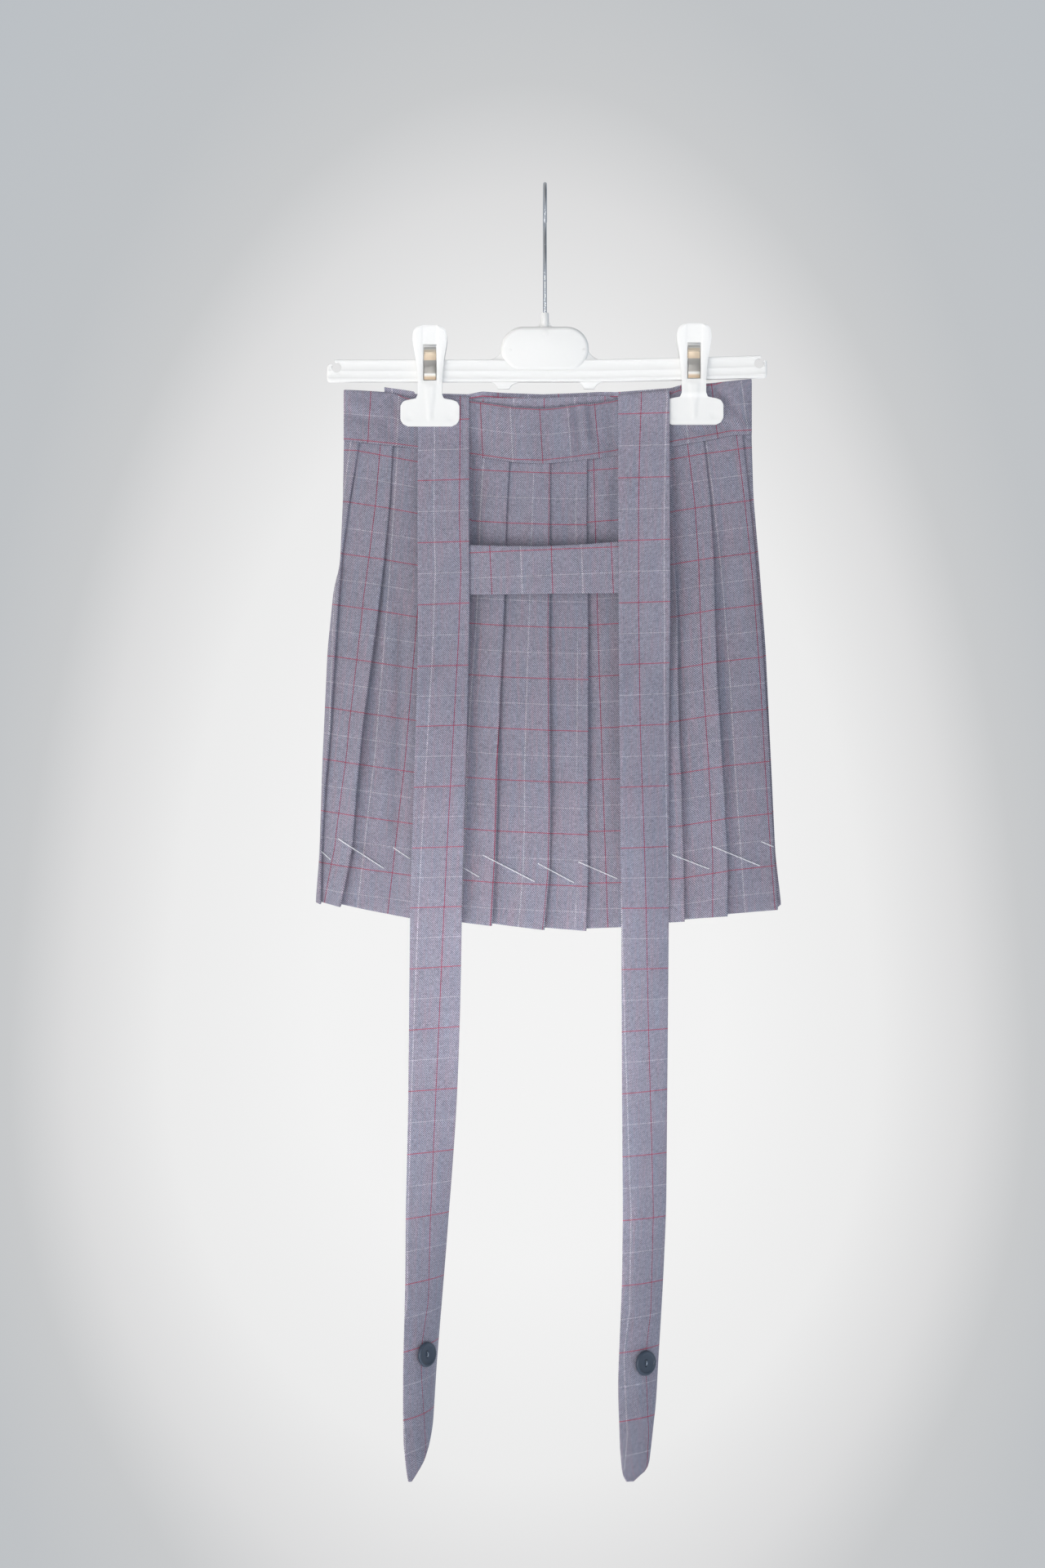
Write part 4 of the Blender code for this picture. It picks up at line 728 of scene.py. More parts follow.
class Nodes:
    """Adds nodes to a tree from left to right."""

    def __init__(self, tree):
        self.tree = tree
        self.place = 0

    def add(self, kind, **values):
        node = self.tree.nodes.new(kind)
        node.location = (self.place % 12 * 190, -(self.place // 12) * 260)
        self.place += 1
        for key, value in values.items():
            setattr(node, key, value)
        return node

    def join(self, source, target):
        if isinstance(source, bpy.types.NodeSocket):
            self.tree.links.new(source, target)
        else:
            target.default_value = source

    def math(self, operation, *values):
        node = self.add("ShaderNodeMath", operation=operation)
        for value, socket in zip(values, node.inputs):
            self.join(value, socket)
        return node.outputs[0]

    def mix(self, share, low, high, blend="MIX"):
        node = self.add("ShaderNodeMix", data_type="RGBA", blend_type=blend)
        self.join(share, node.inputs["Factor"])
        self.join(low, node.inputs["A"])
        self.join(high, node.inputs["B"])
        return node.outputs["Result"]

    def noise(self, vector, scale, detail=2.0):
        node = self.add("ShaderNodeTexNoise")
        self.join(vector, node.inputs["Vector"])
        node.inputs["Scale"].default_value = scale
        node.inputs["Detail"].default_value = detail
        return node.outputs["Fac"]

    def flat(self, x, y):
        node = self.add("ShaderNodeCombineXYZ")
        self.join(x, node.inputs[0])
        self.join(y, node.inputs[1])
        return node.outputs[0]

    def parts(self, vector):
        node = self.add("ShaderNodeSeparateXYZ")
        self.join(vector, node.inputs[0])
        return node.outputs

    def ramp(self, value, stops):
        node = self.add("ShaderNodeValToRGB")
        self.join(value, node.inputs[0])
        while len(node.color_ramp.elements) < len(stops):
            node.color_ramp.elements.new(1.0)
        for element, (position, colour) in zip(node.color_ramp.elements, stops):
            element.position = position
            element.color = rgba(colour)
        return node.outputs[0]

    def group(self, name, values):
        node = self.add("ShaderNodeGroup")
        node.node_tree = group_named(name)
        for label, value in values.items():
            self.join(value, node.inputs[label])
        return node.outputs


def rgba(colour):
    return (*colour, 1.0)


def new_group(name, inputs, outputs):
    """A shader node group with its sockets, and the builder, input and output nodes for its inside."""
    tree = bpy.data.node_groups.new(name, "ShaderNodeTree")
    for label, kind, value in inputs:
        socket = tree.interface.new_socket(label, in_out="INPUT", socket_type=kind)
        if value is not None:
            socket.default_value = value
    for label, kind in outputs:
        tree.interface.new_socket(label, in_out="OUTPUT", socket_type=kind)
    nodes = Nodes(tree)
    return tree, nodes, nodes.add("NodeGroupInput"), nodes.add("NodeGroupOutput")


def near_line(nodes, counted, phase, half_width):
    """1 close to each whole number of a counted coordinate, shifted by a phase."""
    shifted = nodes.math("ADD", counted, 0.5 + phase)
    away = nodes.math("ABSOLUTE", nodes.math("SUBTRACT", nodes.math("FRACT", shifted), 0.5))
    return nodes.math("LESS_THAN", away, half_width)


def twill_group():
    """The checked twill: pale warp over dark weft in slanting floats, with red and white lines."""
    colour, number, vector = "NodeSocketColor", "NodeSocketFloat", "NodeSocketVector"
    tree, nodes, given, result = new_group(
        "Checked twill",
        (("Weave", vector, None), ("Check", vector, None), ("Yarn", number, 0.35), ("Slant", number, 1.0),
         ("Dark", colour, None), ("Light", colour, None), ("Red", colour, None), ("White", colour, None),
         ("Across half width", number, 0.012), ("Along half width", number, 0.014)),
        (("Color", colour), ("Height", number), ("Roughness", number)),
    )
    drift = nodes.add("ShaderNodeTexNoise")
    nodes.join(given.outputs["Weave"], drift.inputs["Vector"])
    drift.inputs["Scale"].default_value = 0.11
    moved = nodes.add("ShaderNodeVectorMath", operation="MULTIPLY_ADD")
    nodes.join(drift.outputs["Color"], moved.inputs[0])
    moved.inputs[1].default_value = (1.6, 1.6, 0.0)
    nodes.join(given.outputs["Weave"], moved.inputs[2])
    weave, check = nodes.parts(moved.outputs[0]), nodes.parts(given.outputs["Check"])
    warp_at = nodes.math("DIVIDE", weave[0], given.outputs["Yarn"])
    weft_at = nodes.math("DIVIDE", weave[1], given.outputs["Yarn"])
    warp, weft = nodes.math("FLOOR", warp_at), nodes.math("FLOOR", weft_at)
    slanted = nodes.math("MULTIPLY_ADD", weft, given.outputs["Slant"], warp)
    over = nodes.math("LESS_THAN", nodes.math("FLOORED_MODULO", slanted, 4.0), 1.5)

    def roundness(at):
        centred = nodes.math("MULTIPLY_ADD", nodes.math("FRACT", at), 2.0, -1.0)
        return nodes.math("SUBTRACT", 1.0, nodes.math("MULTIPLY", centred, centred))

    def own_tone(index, seed):
        tone = nodes.add("ShaderNodeTexWhiteNoise", noise_dimensions="1D")
        nodes.join(nodes.math("ADD", index, seed), tone.inputs["W"])
        return tone.outputs["Value"]

    def line_pair(counted, half, white_share):
        """The red line and the white line half way to the next one."""
        white = nodes.math("MULTIPLY", half, white_share)
        return near_line(nodes, counted, 0.0, half), near_line(nodes, counted, 0.5, white)

    def stretched(wide, tall, shift, detail):
        """Noise that is stretched along the cloth's own directions."""
        across = nodes.math("MULTIPLY_ADD", weave[0], wide, shift)
        return nodes.noise(nodes.flat(across, nodes.math("MULTIPLY", weave[1], tall)), 1.0, detail)

    warp_round, weft_round = roundness(warp_at), roundness(weft_at)
    red, white = given.outputs["Red"], given.outputs["White"]
    upright_red, upright_white = line_pair(check[0], given.outputs["Across half width"], UPRIGHT_WHITE_SHARE)
    cross_red, cross_white = line_pair(check[1], given.outputs["Along half width"], CROSS_WHITE_SHARE)
    pale = given.outputs["Light"]
    for scale, shift, strength, tint in WARP_TINTS:
        streak = nodes.math("SUBTRACT", stretched(scale, scale * 0.05, shift, 2.0), 0.42)
        streak = nodes.math("MULTIPLY", nodes.math("MAXIMUM", streak, 0.0), strength)
        pale = nodes.mix(streak, pale, rgba(tint))
    warp_tone = nodes.math("MULTIPLY", own_tone(warp, 3.0), 0.30)
    pale = nodes.mix(warp_tone, pale, rgba(WARP_OWN_TINT))
    warp_colour = nodes.mix(upright_red, pale, red)
    dotted = nodes.noise(nodes.flat(nodes.math("MULTIPLY", weave[0], 1.2), weave[1]), 0.9, 1.0)
    uneven = nodes.math("MULTIPLY_ADD", nodes.math("SUBTRACT", dotted, 0.5), 1.6, 0.62)
    dotted = nodes.math("MULTIPLY", upright_white, uneven)
    dotted.node.use_clamp = True
    warp_colour = nodes.mix(dotted, warp_colour, white)
    warp_colour = nodes.mix(nodes.math("MULTIPLY", cross_red, 0.55), warp_colour, red)
    weft_tone = nodes.math("MULTIPLY", own_tone(weft, 57.0), 0.35)
    weft_colour = nodes.mix(weft_tone, given.outputs["Dark"], rgba(WEFT_OWN_TINT))
    weft_colour = nodes.mix(nodes.math("MULTIPLY", upright_red, 0.5), weft_colour, red)
    weft_colour = nodes.mix(cross_red, weft_colour, red)
    weft_colour = nodes.mix(nodes.math("MULTIPLY", cross_white, 0.42), weft_colour, white)
    woven = nodes.mix(over, weft_colour, warp_colour)
    cloudy = nodes.noise(given.outputs["Weave"], 0.055, 4.0)
    speckle = nodes.noise(given.outputs["Weave"], 0.9, 2.0)
    slubs = nodes.math("ADD", stretched(1.1, 0.28, 7.0, 1.0), stretched(0.28, 1.1, 91.0, 1.0))
    shade = nodes.math("ADD", nodes.math("MULTIPLY", cloudy, CLOUDY_SHADE),
                       nodes.math("MULTIPLY", speckle, SPECKLE_SHADE))
    shade = nodes.math("MULTIPLY_ADD", slubs, SLUB_SHADE, shade)
    grey = nodes.flat(shade, shade)
    nodes.join(shade, grey.node.inputs[2])
    coloured = nodes.mix(1.0, woven, grey, "MULTIPLY")
    nodes.join(coloured, result.inputs["Color"])
    high = nodes.math("MULTIPLY_ADD", warp_round, 0.6, 0.4)
    low = nodes.math("MULTIPLY", weft_round, 0.6)
    height = nodes.add("ShaderNodeMix", data_type="FLOAT")
    nodes.join(over, height.inputs["Factor"])
    nodes.join(low, height.inputs["A"])
    nodes.join(high, height.inputs["B"])
    nodes.join(height.outputs["Result"], result.inputs["Height"])
    nodes.join(nodes.math("MULTIPLY_ADD", speckle, 0.2, 0.74), result.inputs["Roughness"])
    return tree


def surface_group():
    """Soft variation of a moulded or drawn surface: colour, roughness and a faint unevenness."""
    tree, nodes, given, result = new_group(
        "Handled surface",
        (("Color", "NodeSocketColor", None), ("Soil", "NodeSocketColor", None),
         ("Roughness", "NodeSocketFloat", 0.3), ("Spread", "NodeSocketFloat", 0.1),
         ("Scale", "NodeSocketFloat", 60.0)),
        (("Color", "NodeSocketColor"), ("Roughness", "NodeSocketFloat"), ("Height", "NodeSocketFloat")),
    )
    where = nodes.add("ShaderNodeTexCoord")
    fine = nodes.add("ShaderNodeTexNoise")
    nodes.join(where.outputs["Object"], fine.inputs["Vector"])
    nodes.join(given.outputs["Scale"], fine.inputs["Scale"])
    fine.inputs["Detail"].default_value = 4.0
    broad = nodes.noise(where.outputs["Object"], 14.0, 2.0)
    amount = nodes.math("MULTIPLY", nodes.math("SUBTRACT", broad, 0.5), 0.30)
    nodes.join(nodes.mix(nodes.math("MAXIMUM", amount, 0.0), given.outputs["Color"], given.outputs["Soil"]),
               result.inputs["Color"])
    swing = nodes.math("MULTIPLY", nodes.math("SUBTRACT", fine.outputs["Fac"], 0.5), given.outputs["Spread"])
    nodes.join(nodes.math("ADD", given.outputs["Roughness"], swing), result.inputs["Roughness"])
    nodes.join(fine.outputs["Fac"], result.inputs["Height"])
    return tree


def group_named(name):
    """The shared shader group of a name, made when it is first asked for."""
    makers = {"Checked twill": twill_group, "Handled surface": surface_group}
    return bpy.data.node_groups.get(name) or makers[name]()


def new_material(name):
    """A material with its node builder and its shader."""
    made = bpy.data.materials.new(name)
    made.use_nodes = True
    made.node_tree.nodes.clear()
    nodes = Nodes(made.node_tree)
    shader = nodes.add("ShaderNodeBsdfPrincipled")
    output = nodes.add("ShaderNodeOutputMaterial")
    nodes.join(shader.outputs[0], output.inputs["Surface"])
    return made, nodes, shader


def dress(nodes, shader, surface, bump, distance):
    """Joins a surface's colour, roughness and height to the shader."""
    nodes.join(surface["Color"], shader.inputs["Base Color"])
    nodes.join(surface["Roughness"], shader.inputs["Roughness"])
    raised = nodes.add("ShaderNodeBump")
    raised.inputs["Strength"].default_value = bump
    raised.inputs["Distance"].default_value = distance
    nodes.join(surface["Height"], raised.inputs["Height"])
    nodes.join(raised.outputs[0], shader.inputs["Normal"])


def cloth_material(name, slant, turned=False, painted_light=1.0):
    """Checked twill that follows a piece's two UV maps; turned where the cloth is cut sideways; its colours
    made paler by a factor of painted light.
    """
    found = bpy.data.materials.get(name)
    if found:
        return found
    cloth = settings("cloth")
    made, nodes, shader = new_material(name)
    spacings = (ALONG_SPACING, ACROSS_SPACING) if turned else (ACROSS_SPACING, ALONG_SPACING)
    surface = nodes.group("Checked twill", {
        "Weave": nodes.add("ShaderNodeUVMap", uv_map="weave").outputs[0],
        "Check": nodes.add("ShaderNodeUVMap", uv_map="check").outputs[0],
        "Yarn": cloth.yarn,
        "Slant": slant,
        "Across half width": cloth.upright_width / 2 / spacings[0],
        "Along half width": cloth.cross_width / 2 / spacings[1],
        # Painted light: all four yarn colours are made paler by the piece's factor, standing in for how
        # brightly it is lit
        **{label: rgba([part * painted_light for part in getattr(cloth, label.lower())])
           for label in ("Dark", "Light", "Red", "White")},
    })
    dress(nodes, shader, surface, 0.35, 0.00022)
    shader.inputs["Sheen Weight"].default_value = 0.12
    shader.inputs["Sheen Roughness"].default_value = 0.5
    shader.inputs["Specular IOR Level"].default_value = 0.25
    return made


def handled(nodes, colour, soil, roughness, spread, scale):
    """The shared surface group, from a colour or a socket and its soil's colour."""
    return nodes.group("Handled surface", {
        "Color": colour, "Soil": rgba(soil), "Roughness": roughness, "Spread": spread, "Scale": scale})


def surface_material(name, colour, soil, roughness, spread, scale, bump, metallic=0.0):
    """A moulded or metal finish on the shared surface group."""
    found = bpy.data.materials.get(name)
    if found:
        return found
    made, nodes, shader = new_material(name)
    dress(nodes, shader, handled(nodes, rgba(colour), soil, roughness, spread, scale), bump, 0.0004)
    shader.inputs["Metallic"].default_value = metallic
    return made


def plastic():
    look = settings("hanger")
    made = surface_material("moulded white plastic", look.plastic, (0.90, 0.90, 0.89), 0.36, 0.12, 90.0, 0.05)
    shader = made.node_tree.nodes["Principled BSDF"]
    shader.inputs["Subsurface Weight"].default_value = 0.15
    shader.inputs["Subsurface Radius"].default_value = (1.0, 1.0, 1.0)
    shader.inputs["Subsurface Scale"].default_value = 0.004
    return made


def thread_material():
    look = settings("trim")
    return surface_material("basting thread", look.thread, (0.62, 0.62, 0.66), 0.75, 0.2, 2500.0, 0.3)


def button_material():
    look = settings("trim")
    return surface_material("dark blue button", look.button, (0.09, 0.11, 0.15), 0.34, 0.16, 350.0, 0.10)


def panel_row(share, edges, hems, levels, lifts, seam_z):
    """One height of a pleated panel: its runs of cloth, each from the inner fold before it, under the
    free edge before it, up to its own free edge and back. A point is (x, depth, z)."""
    level = level_at(share, levels)
    underlay = WAIST_UNDERLAY + (HEM_UNDERLAY - WAIST_UNDERLAY) * share
    pitch = PLEAT_PITCH * (PRESSED_FLAT + (1 - PRESSED_FLAT) * float(smooth_step(share / PRESSED_DOWN_TO)))

    def height(x, hem_z):
        return (seam_z(x) - SEAM_GAP) * (1 - share) + hem_z * share

    left, right = level.left + SIDE_INSET, level.right - SIDE_INSET
    runs, marks = [], []
    run = []
    for step in range(5):
        along = step / 4
        depth = SIDE_DEPTH + (CORNER_DEPTH - SIDE_DEPTH) * along
        run.append((left + SIDE_ROUND * along ** 2, depth, hems[0]))
    start, start_hem = left, hems[0]
    for index, edge in enumerate(edges):
        width = edge - start
        hem = hems[index + 1]
        top = tube_depth(edge, level)
        next_hem = hem + HEM_STEP
        lift = lifts[index]
        if index == 0:
            first_x, first_depth, _ = run[-1]
            for step in range(1, 13):
                along = step / 12
                x = first_x + (edge - pitch / 2 - first_x) * along
                depth = first_depth + (top - first_depth) * along ** FIRST_PLEAT_BULGE + lift * along ** 3
                run.append((x, depth, hems[0] + (hem - hems[0]) * along))
            marks.append(len(run) - 1)
            for angle in (30, 60, 90):
                turn = math.radians(angle)
                run.append((edge - pitch / 2 + pitch / 2 * math.sin(turn),
                            top + lift - pitch / 2 * (1 - math.cos(turn)), hem))
            runs.append(run)
            run = [(edge, top - 1.5 * pitch, next_hem), (edge + 0.2, top - 1.9 * pitch, next_hem)]
        else:
            knee = edge - width * underlay
            knee_share = (knee - start) / width
            knee_hem = start_hem + (hem - start_hem) * knee_share
            knee_depth = tube_depth(knee, level) - 2 * pitch * (1 - knee_share)
            along_x, along_depth = edge - knee, top - knee_depth
            length = math.hypot(along_x, along_depth)
            along_x, along_depth = along_x / length, along_depth / length

            def spot(reach, layer, hem_z, raised=True):
                x = knee + along_x * reach + along_depth * layer * pitch
                depth = knee_depth + along_depth * reach - along_x * layer * pitch
                if raised:
                    depth += lift * max(reach / length, 0) ** LIFT_POWER
                return (x, depth, hem_z)

            before = run[-1]
            target = spot(0, 0, knee_hem)
            for step in range(1, 7):
                along = step / 7
                run.append(tuple(before[part] + (target[part] - before[part]) * along for part in range(3)))
            for step in range(11):
                run.append(spot(length * step / 10, 0, knee_hem + (hem - knee_hem) * step / 10))
            marks.append(len(run) - 1)
            for angle in (36, 72, 108, 144):
                turn = math.radians(angle)
                run.append(spot(length + pitch / 2 * math.sin(turn), 0.5 - 0.5 * math.cos(turn), hem))
            for step in range(4):
                reach = length + (KNEE_INSET - length) * step / 3
                run.append(spot(reach, 1, hem + (knee_hem - hem) * step / 3))
            run.append(spot(KNEE_INSET - pitch / 2 * 0.7, 1.15, knee_hem))
            run.append(spot(KNEE_INSET - pitch / 2, 1.5, knee_hem))
            runs.append(run)
            run = [spot(KNEE_INSET - pitch / 2 * 0.7, 1.85, knee_hem, False)]
            for step in range(4):
                reach = KNEE_INSET + (length + pitch - KNEE_INSET) * step / 3
                run.append(spot(reach, 2, knee_hem + (next_hem - knee_hem) * step / 3, False))
        start, start_hem = edge, next_hem
    before = run[-1]
    for step in range(1, 5):
        along = step / 4
        run.append((before[0] + (right - SIDE_ROUND - before[0]) * along,
                    before[1] + (CORNER_DEPTH - before[1]) * along ** 2,
                    before[2] + (hems[-1] - before[2]) * along))
    marks.append(len(run) - 1)
    for step in range(1, 5):
        along = step / 4
        run.append((right - SIDE_ROUND * (1 - along) ** 2,
                    CORNER_DEPTH + (SIDE_DEPTH - CORNER_DEPTH) * along, hems[-1]))
    runs.append(run)
    return [[(x, depth, height(x, hem_z)) for x, depth, hem_z in each] for each in runs], marks


def fold_offsets(line, spread):
    """Steps off a line of (x, depth) points by a spread, towards whoever sees it run to the right."""
    headings = np.diff(line, axis=0)
    headings /= np.maximum(np.linalg.norm(headings, axis=1, keepdims=True), 1e-9)
    before = np.vstack([headings[:1], headings])
    after = np.vstack([headings, headings[-1:]])
    normal = np.stack([-(before + after)[:, 1], (before + after)[:, 0]], axis=1)
    normal /= np.maximum(np.linalg.norm(normal, axis=1, keepdims=True), 1e-9)
    facing = normal[:, 0] * -after[:, 1] + normal[:, 1] * after[:, 0]
    return normal * (spread / np.maximum(facing, 0.75))[:, None]


def check_across(offset, red, white):
    """The across count of the check at an offset left of a free edge, from its red and white lines."""
    if white is None:
        return (red - offset) / ACROSS_SPACING
    step = white - red
    inside = np.clip((offset - min(red, white)) / abs(step), 0, 1)
    beyond = np.where(offset < min(red, white), offset - min(red, white),
                      np.maximum(offset - max(red, white), 0))
    start, span = (0.0, -0.5) if white > red else (-0.5, 0.5)
    return start + span * inside - beyond / ACROSS_SPACING


def pleated_panel(name, levels, edge_table, hems, lift_table, seam_z, checks, creases, facing):
    """A pleated panel as one sheet of cloth, row after row down the skirt."""
    cloth = settings("cloth")
    shares = rimmed(cloth.pleat_steps, PANEL_RIM_SHARE)
    outer, inner, weave, check = [], [], [], []
    for share in shares:
        edges = [float(np.interp(share, FOLD_SHARES, row)) for row in edge_table]
        lifts = [float(np.interp(share, LIFT_SHARES, row)) for row in lift_table]
        runs, marks = panel_row(share, edges, hems, levels, lifts, seam_z)
        weave_row, check_row, points = [], [], []
        bounds = [runs[0][0][0], *edges, runs[-1][-1][0]]
        for index, (run, mark) in enumerate(zip(runs, marks)):
            run = np.array(run)
            arc = np.concatenate([[0], np.cumsum(np.hypot(*np.diff(run[:, :2], axis=0).T))])
            offset = arc[mark] - arc
            look = checks[index]
            red = float(np.interp(share, CHECK_SHARES, look.red))
            white = look.white and float(np.interp(share, CHECK_SHARES, look.white))
            counted = check_across(offset, red, white) + 2 * index
            across = np.clip((run[:, 0] - bounds[index]) / (bounds[index + 1] - bounds[index]), 0, 1)
            ends = look.row_ends
            first = ends[0] + (ends[1] - ends[0]) * across
            last = ends[2] + (ends[3] - ends[2]) * across
            rows_down = (run[:, 2] - first) / (last - first) * ROW_COUNT
            pleat_start = PLEAT_WEAVE_STEP * index
            weave_row.append(np.stack([pleat_start - offset, -rows_down * ALONG_SPACING], axis=1))
            check_row.append(np.stack([counted, -rows_down], axis=1))
            points.append(run)
        points = np.concatenate(points)
        points[:, 1] += crease_depth(points[:, 0], points[:, 2], creases) * min(share / CREASES_FROM, 1.0)
        spread = cloth.wall / 2 * float(rim((1 - share) * PANEL_LENGTH, 0.5))
        sideways = fold_offsets(points[:, :2], spread)
        for rows, sign in ((outer, 1), (inner, -1)):
            moved = points[:, :2] + sideways * sign
            rows.append(np.stack([moved[:, 0], moved[:, 1], points[:, 2]], axis=1))
        weave.append(np.concatenate(weave_row))
        check.append(np.concatenate(check_row))

    def placed(rows):
        rows = np.array(rows)
        turn = 1 if facing == "front" else -1
        return np.stack([rows[..., 0] * turn, CLOTH_MIDDLE_Y - turn * rows[..., 1], rows[..., 2]], axis=2)

    maps = {"weave": np.array(weave), "check": np.array(check)}
    finish = cloth_material("check twill, falling left", 1.0)
    return wall_piece(name, placed(outer), placed(inner), finish, maps, sharp=None)


def front_panel():
    edges, lifts = [fold.edge for fold in FRONT_FOLDS], [fold.lift for fold in FRONT_FOLDS]
    hems = [HEM_ENDS_Z[0], *[fold.hem_z for fold in FRONT_FOLDS], HEM_ENDS_Z[1]]
    return pleated_panel("pleated_front", LEVELS, edges, hems, lifts, lambda x: table_value(SEAM, x),
                         FRONT_CHECK, FRONT_CREASES, "front")


def back_panel():
    """The back as seen from behind, so left and right are exchanged."""
    levels = [level._replace(left=-level.right, right=-level.left) for level in LEVELS]
    count = len(BACK_SHIFTS)
    edge_table = [[] for _ in range(count)]
    for share in FOLD_SHARES:
        level = level_at(share, levels)
        first = level.left + (level.right - level.left) * BACK_FIRST_SHARE
        last = level.right - BACK_LAST_INSET
        step = (last - first) / (count - 1)
        for index, shift in enumerate(BACK_SHIFTS):
            edge_table[index].append(first + step * (index + shift))
    front_hem = [(LEVELS[-1].left, HEM_ENDS_Z[0]), *[(fold.edge[-1], fold.hem_z) for fold in FRONT_FOLDS],
                 (LEVELS[-1].right, HEM_ENDS_Z[1])]
    ends = [levels[-1].left, *[edges[-1] for edges in edge_table], levels[-1].right]
    hems = [float(table_value(front_hem, -x)) + BACK_HEM_RISE for x in ends]
    hems[0], hems[-1] = HEM_ENDS_Z[1], HEM_ENDS_Z[0]
    sag = [hems[0] - hem for hem in hems]
    lift_table = [[amount * part for part in BACK_LIFT_SHAPE] for amount in BACK_LIFTS]
    checks = []
    for index, red in enumerate(BACK_RED):
        low, high = sag[index], sag[min(index + 1, count + 1)]
        ends = (BACK_ROW_0_Z - low * 0.8, BACK_ROW_0_Z - high * 0.8,
                BACK_LAST_ROW_Z - low * 0.9, BACK_LAST_ROW_Z - high * 0.9)
        checks.append(PleatCheck(ends, (red, red + 1, red + 2, red + 3), None))
    return pleated_panel("pleated_back", levels, edge_table, hems, lift_table,
                         lambda x: table_value(SEAM, -x), checks, BACK_CREASES, "back")


def band_depth(x, down, pinched):
    """Depth of a band layer's middle: flat where it is held, meeting the pleats at its lower edge."""
    full = tube_depth(x, LEVELS[0])
    held = held_at(x) * (1 - smooth_step((down - HELD_DOWN_TO) / (1 - HELD_DOWN_TO)))
    return full + (min(pinched, full) - full) * held


def upright_count(x, down, lines):
    numbers = np.arange(len(lines))
    at_top = np.interp(x, [line[0] for line in lines], numbers)
    at_seam = np.interp(x, [line[1] for line in lines], numbers)
    return at_top * (1 - down) + at_seam * down


def band_half(name, top_table, pinched, facing, lines, top_red, creases):
    """Half of the waistband, with both ends turned round the sides of the waist."""
    waist = LEVELS[0]
    left, right = waist.left + BAND_WALL / 2, waist.right - BAND_WALL / 2
    turn = -1 if facing == "back" else 1
    stations = [left, left, right, right]
    stations[2:2] = [
        left + (right - left) * (0.5 - 0.5 * math.cos(math.pi * column / BAND_COLUMNS))
        for column in range(BAND_COLUMNS + 1)
    ]
    downs = rimmed(14, 0.016)
    grid = np.zeros((len(downs), len(stations), 3))
    check = np.zeros((len(downs), len(stations), 2))
    for column, x in enumerate(stations):
        top, seam = float(table_value(top_table, x)), float(table_value(SEAM, x))
        low_line, high_line = float(table_value(BAND_BOTTOM_RED, x)), float(table_value(top_red, x))
        from_end = min(column, len(stations) - 1 - column)
        for row, down in enumerate(downs):
            depth = max(band_depth(x, down, pinched), BAND_SIDE_DEPTH)
            if from_end < 2:
                depth = (SIDE_DEPTH, BAND_SIDE_DEPTH * 0.6)[from_end]
            grid[row, column] = (x, depth, top * (1 - down) + seam * down)
            check[row, column] = (upright_count(x, down, lines), (low_line - down) / (low_line - high_line))
    grid[..., 1] += crease_depth(grid[..., 0], grid[..., 2], creases) * BAND_CREASE_SHARE
    grid[..., 1] = CLOTH_MIDDLE_Y - turn * grid[..., 1]
    normal = grid_normals(grid[:, ::turn])[:, ::turn]
    thin = [min(rim(down * BAND_HEIGHT, 0.9), rim((1 - down) * BAND_HEIGHT + 0.15, 0.5)) for down in downs]
    half = BAND_WALL * np.array(thin)[:, None, None] / 2
    finish = cloth_material("check twill, falling right", -1.0)
    made = wall_piece(name, grid + normal * half, grid - normal * half, finish,
                      {"weave": weave_map(grid), "check": check}, sharp=None)
    # Painted light: the back band's inside face, seen through the open waist, gets a much paler copy of the
    # cloth, standing in for light its shade keeps from it
    if facing == "back":
        made.data.materials.append(cloth_material("inside of the band", -1.0, painted_light=INSIDE_PAINTED_LIGHT))
        for polygon in made.data.polygons:
            if polygon.normal.y < -0.5:
                polygon.material_index = 1
    return made


def underlap():
    """The band's end that laps inside the front."""
    left, right = UNDERLAP_SPAN
    downs, alongs = rimmed(8, 0.02), rimmed(60, 0.003)
    grid = np.zeros((len(downs), len(alongs), 3))
    check = np.zeros((len(downs), len(alongs), 2))
    for row, down in enumerate(downs):
        for column, along in enumerate(alongs):
            x = left + (right - left) * along
            front = band_depth(x, down * HELD_DOWN_TO, FRONT_PINCH)
            depth = UNDERLAP_PINCH + UNDERLAP_FOLLOWS * (front - FRONT_PINCH)
            z = float(table_value(UNDERLAP_TOP, x)) - UNDERLAP_DROP * down
            grid[row, column] = (x, CLOTH_MIDDLE_Y - depth, z)
            check[row, column] = ((x + 0.3) / ACROSS_SPACING, 0.3 - down * 0.7)
    wall = UNDERLAP_WALL * rim([min(down, 1 - down) * UNDERLAP_DROP for down in downs], 0.5)[:, None]
    maps = {"weave": weave_map(grid, UNDERLAP_SHIFT), "check": check}
    # Painted light: the underlap's cloth colour is made paler, standing in for light that the shaded waist
    # keeps from it
    return cloth_piece("band_underlap", grid, wall, maps,
                       cloth_material("underlap twill", -1.0, painted_light=UNDERLAP_PAINTED_LIGHT))


def strap_row(row, columns):
    """Points across one row of a strap, curling from its left edge to its right one."""
    x, depth = row.left, row.depth
    line = [(x, CLOTH_MIDDLE_Y - depth, row.z)]
    for before, after in zip(columns, columns[1:]):
        turn = math.radians(row.turn_left + (row.turn_right - row.turn_left) * (before + after) / 2)
        x += row.width * (after - before) * math.cos(turn)
        depth -= row.width * (after - before) * math.sin(turn)
        line.append((x, CLOTH_MIDDLE_Y - depth, row.z))
    return line


def strap_stations(rows):
    """Heights down a strap's front run: even steps, finer near the tip."""
    top, bottom = rows[0].z, rows[-1].z
    even = list(np.arange(top, bottom + 50, -6.0))
    fine = list(np.linspace(bottom + 47, bottom + 6, 14))
    return even + fine + [bottom + 4, bottom + 2.5, bottom + 1.2, bottom + 0.4, bottom]


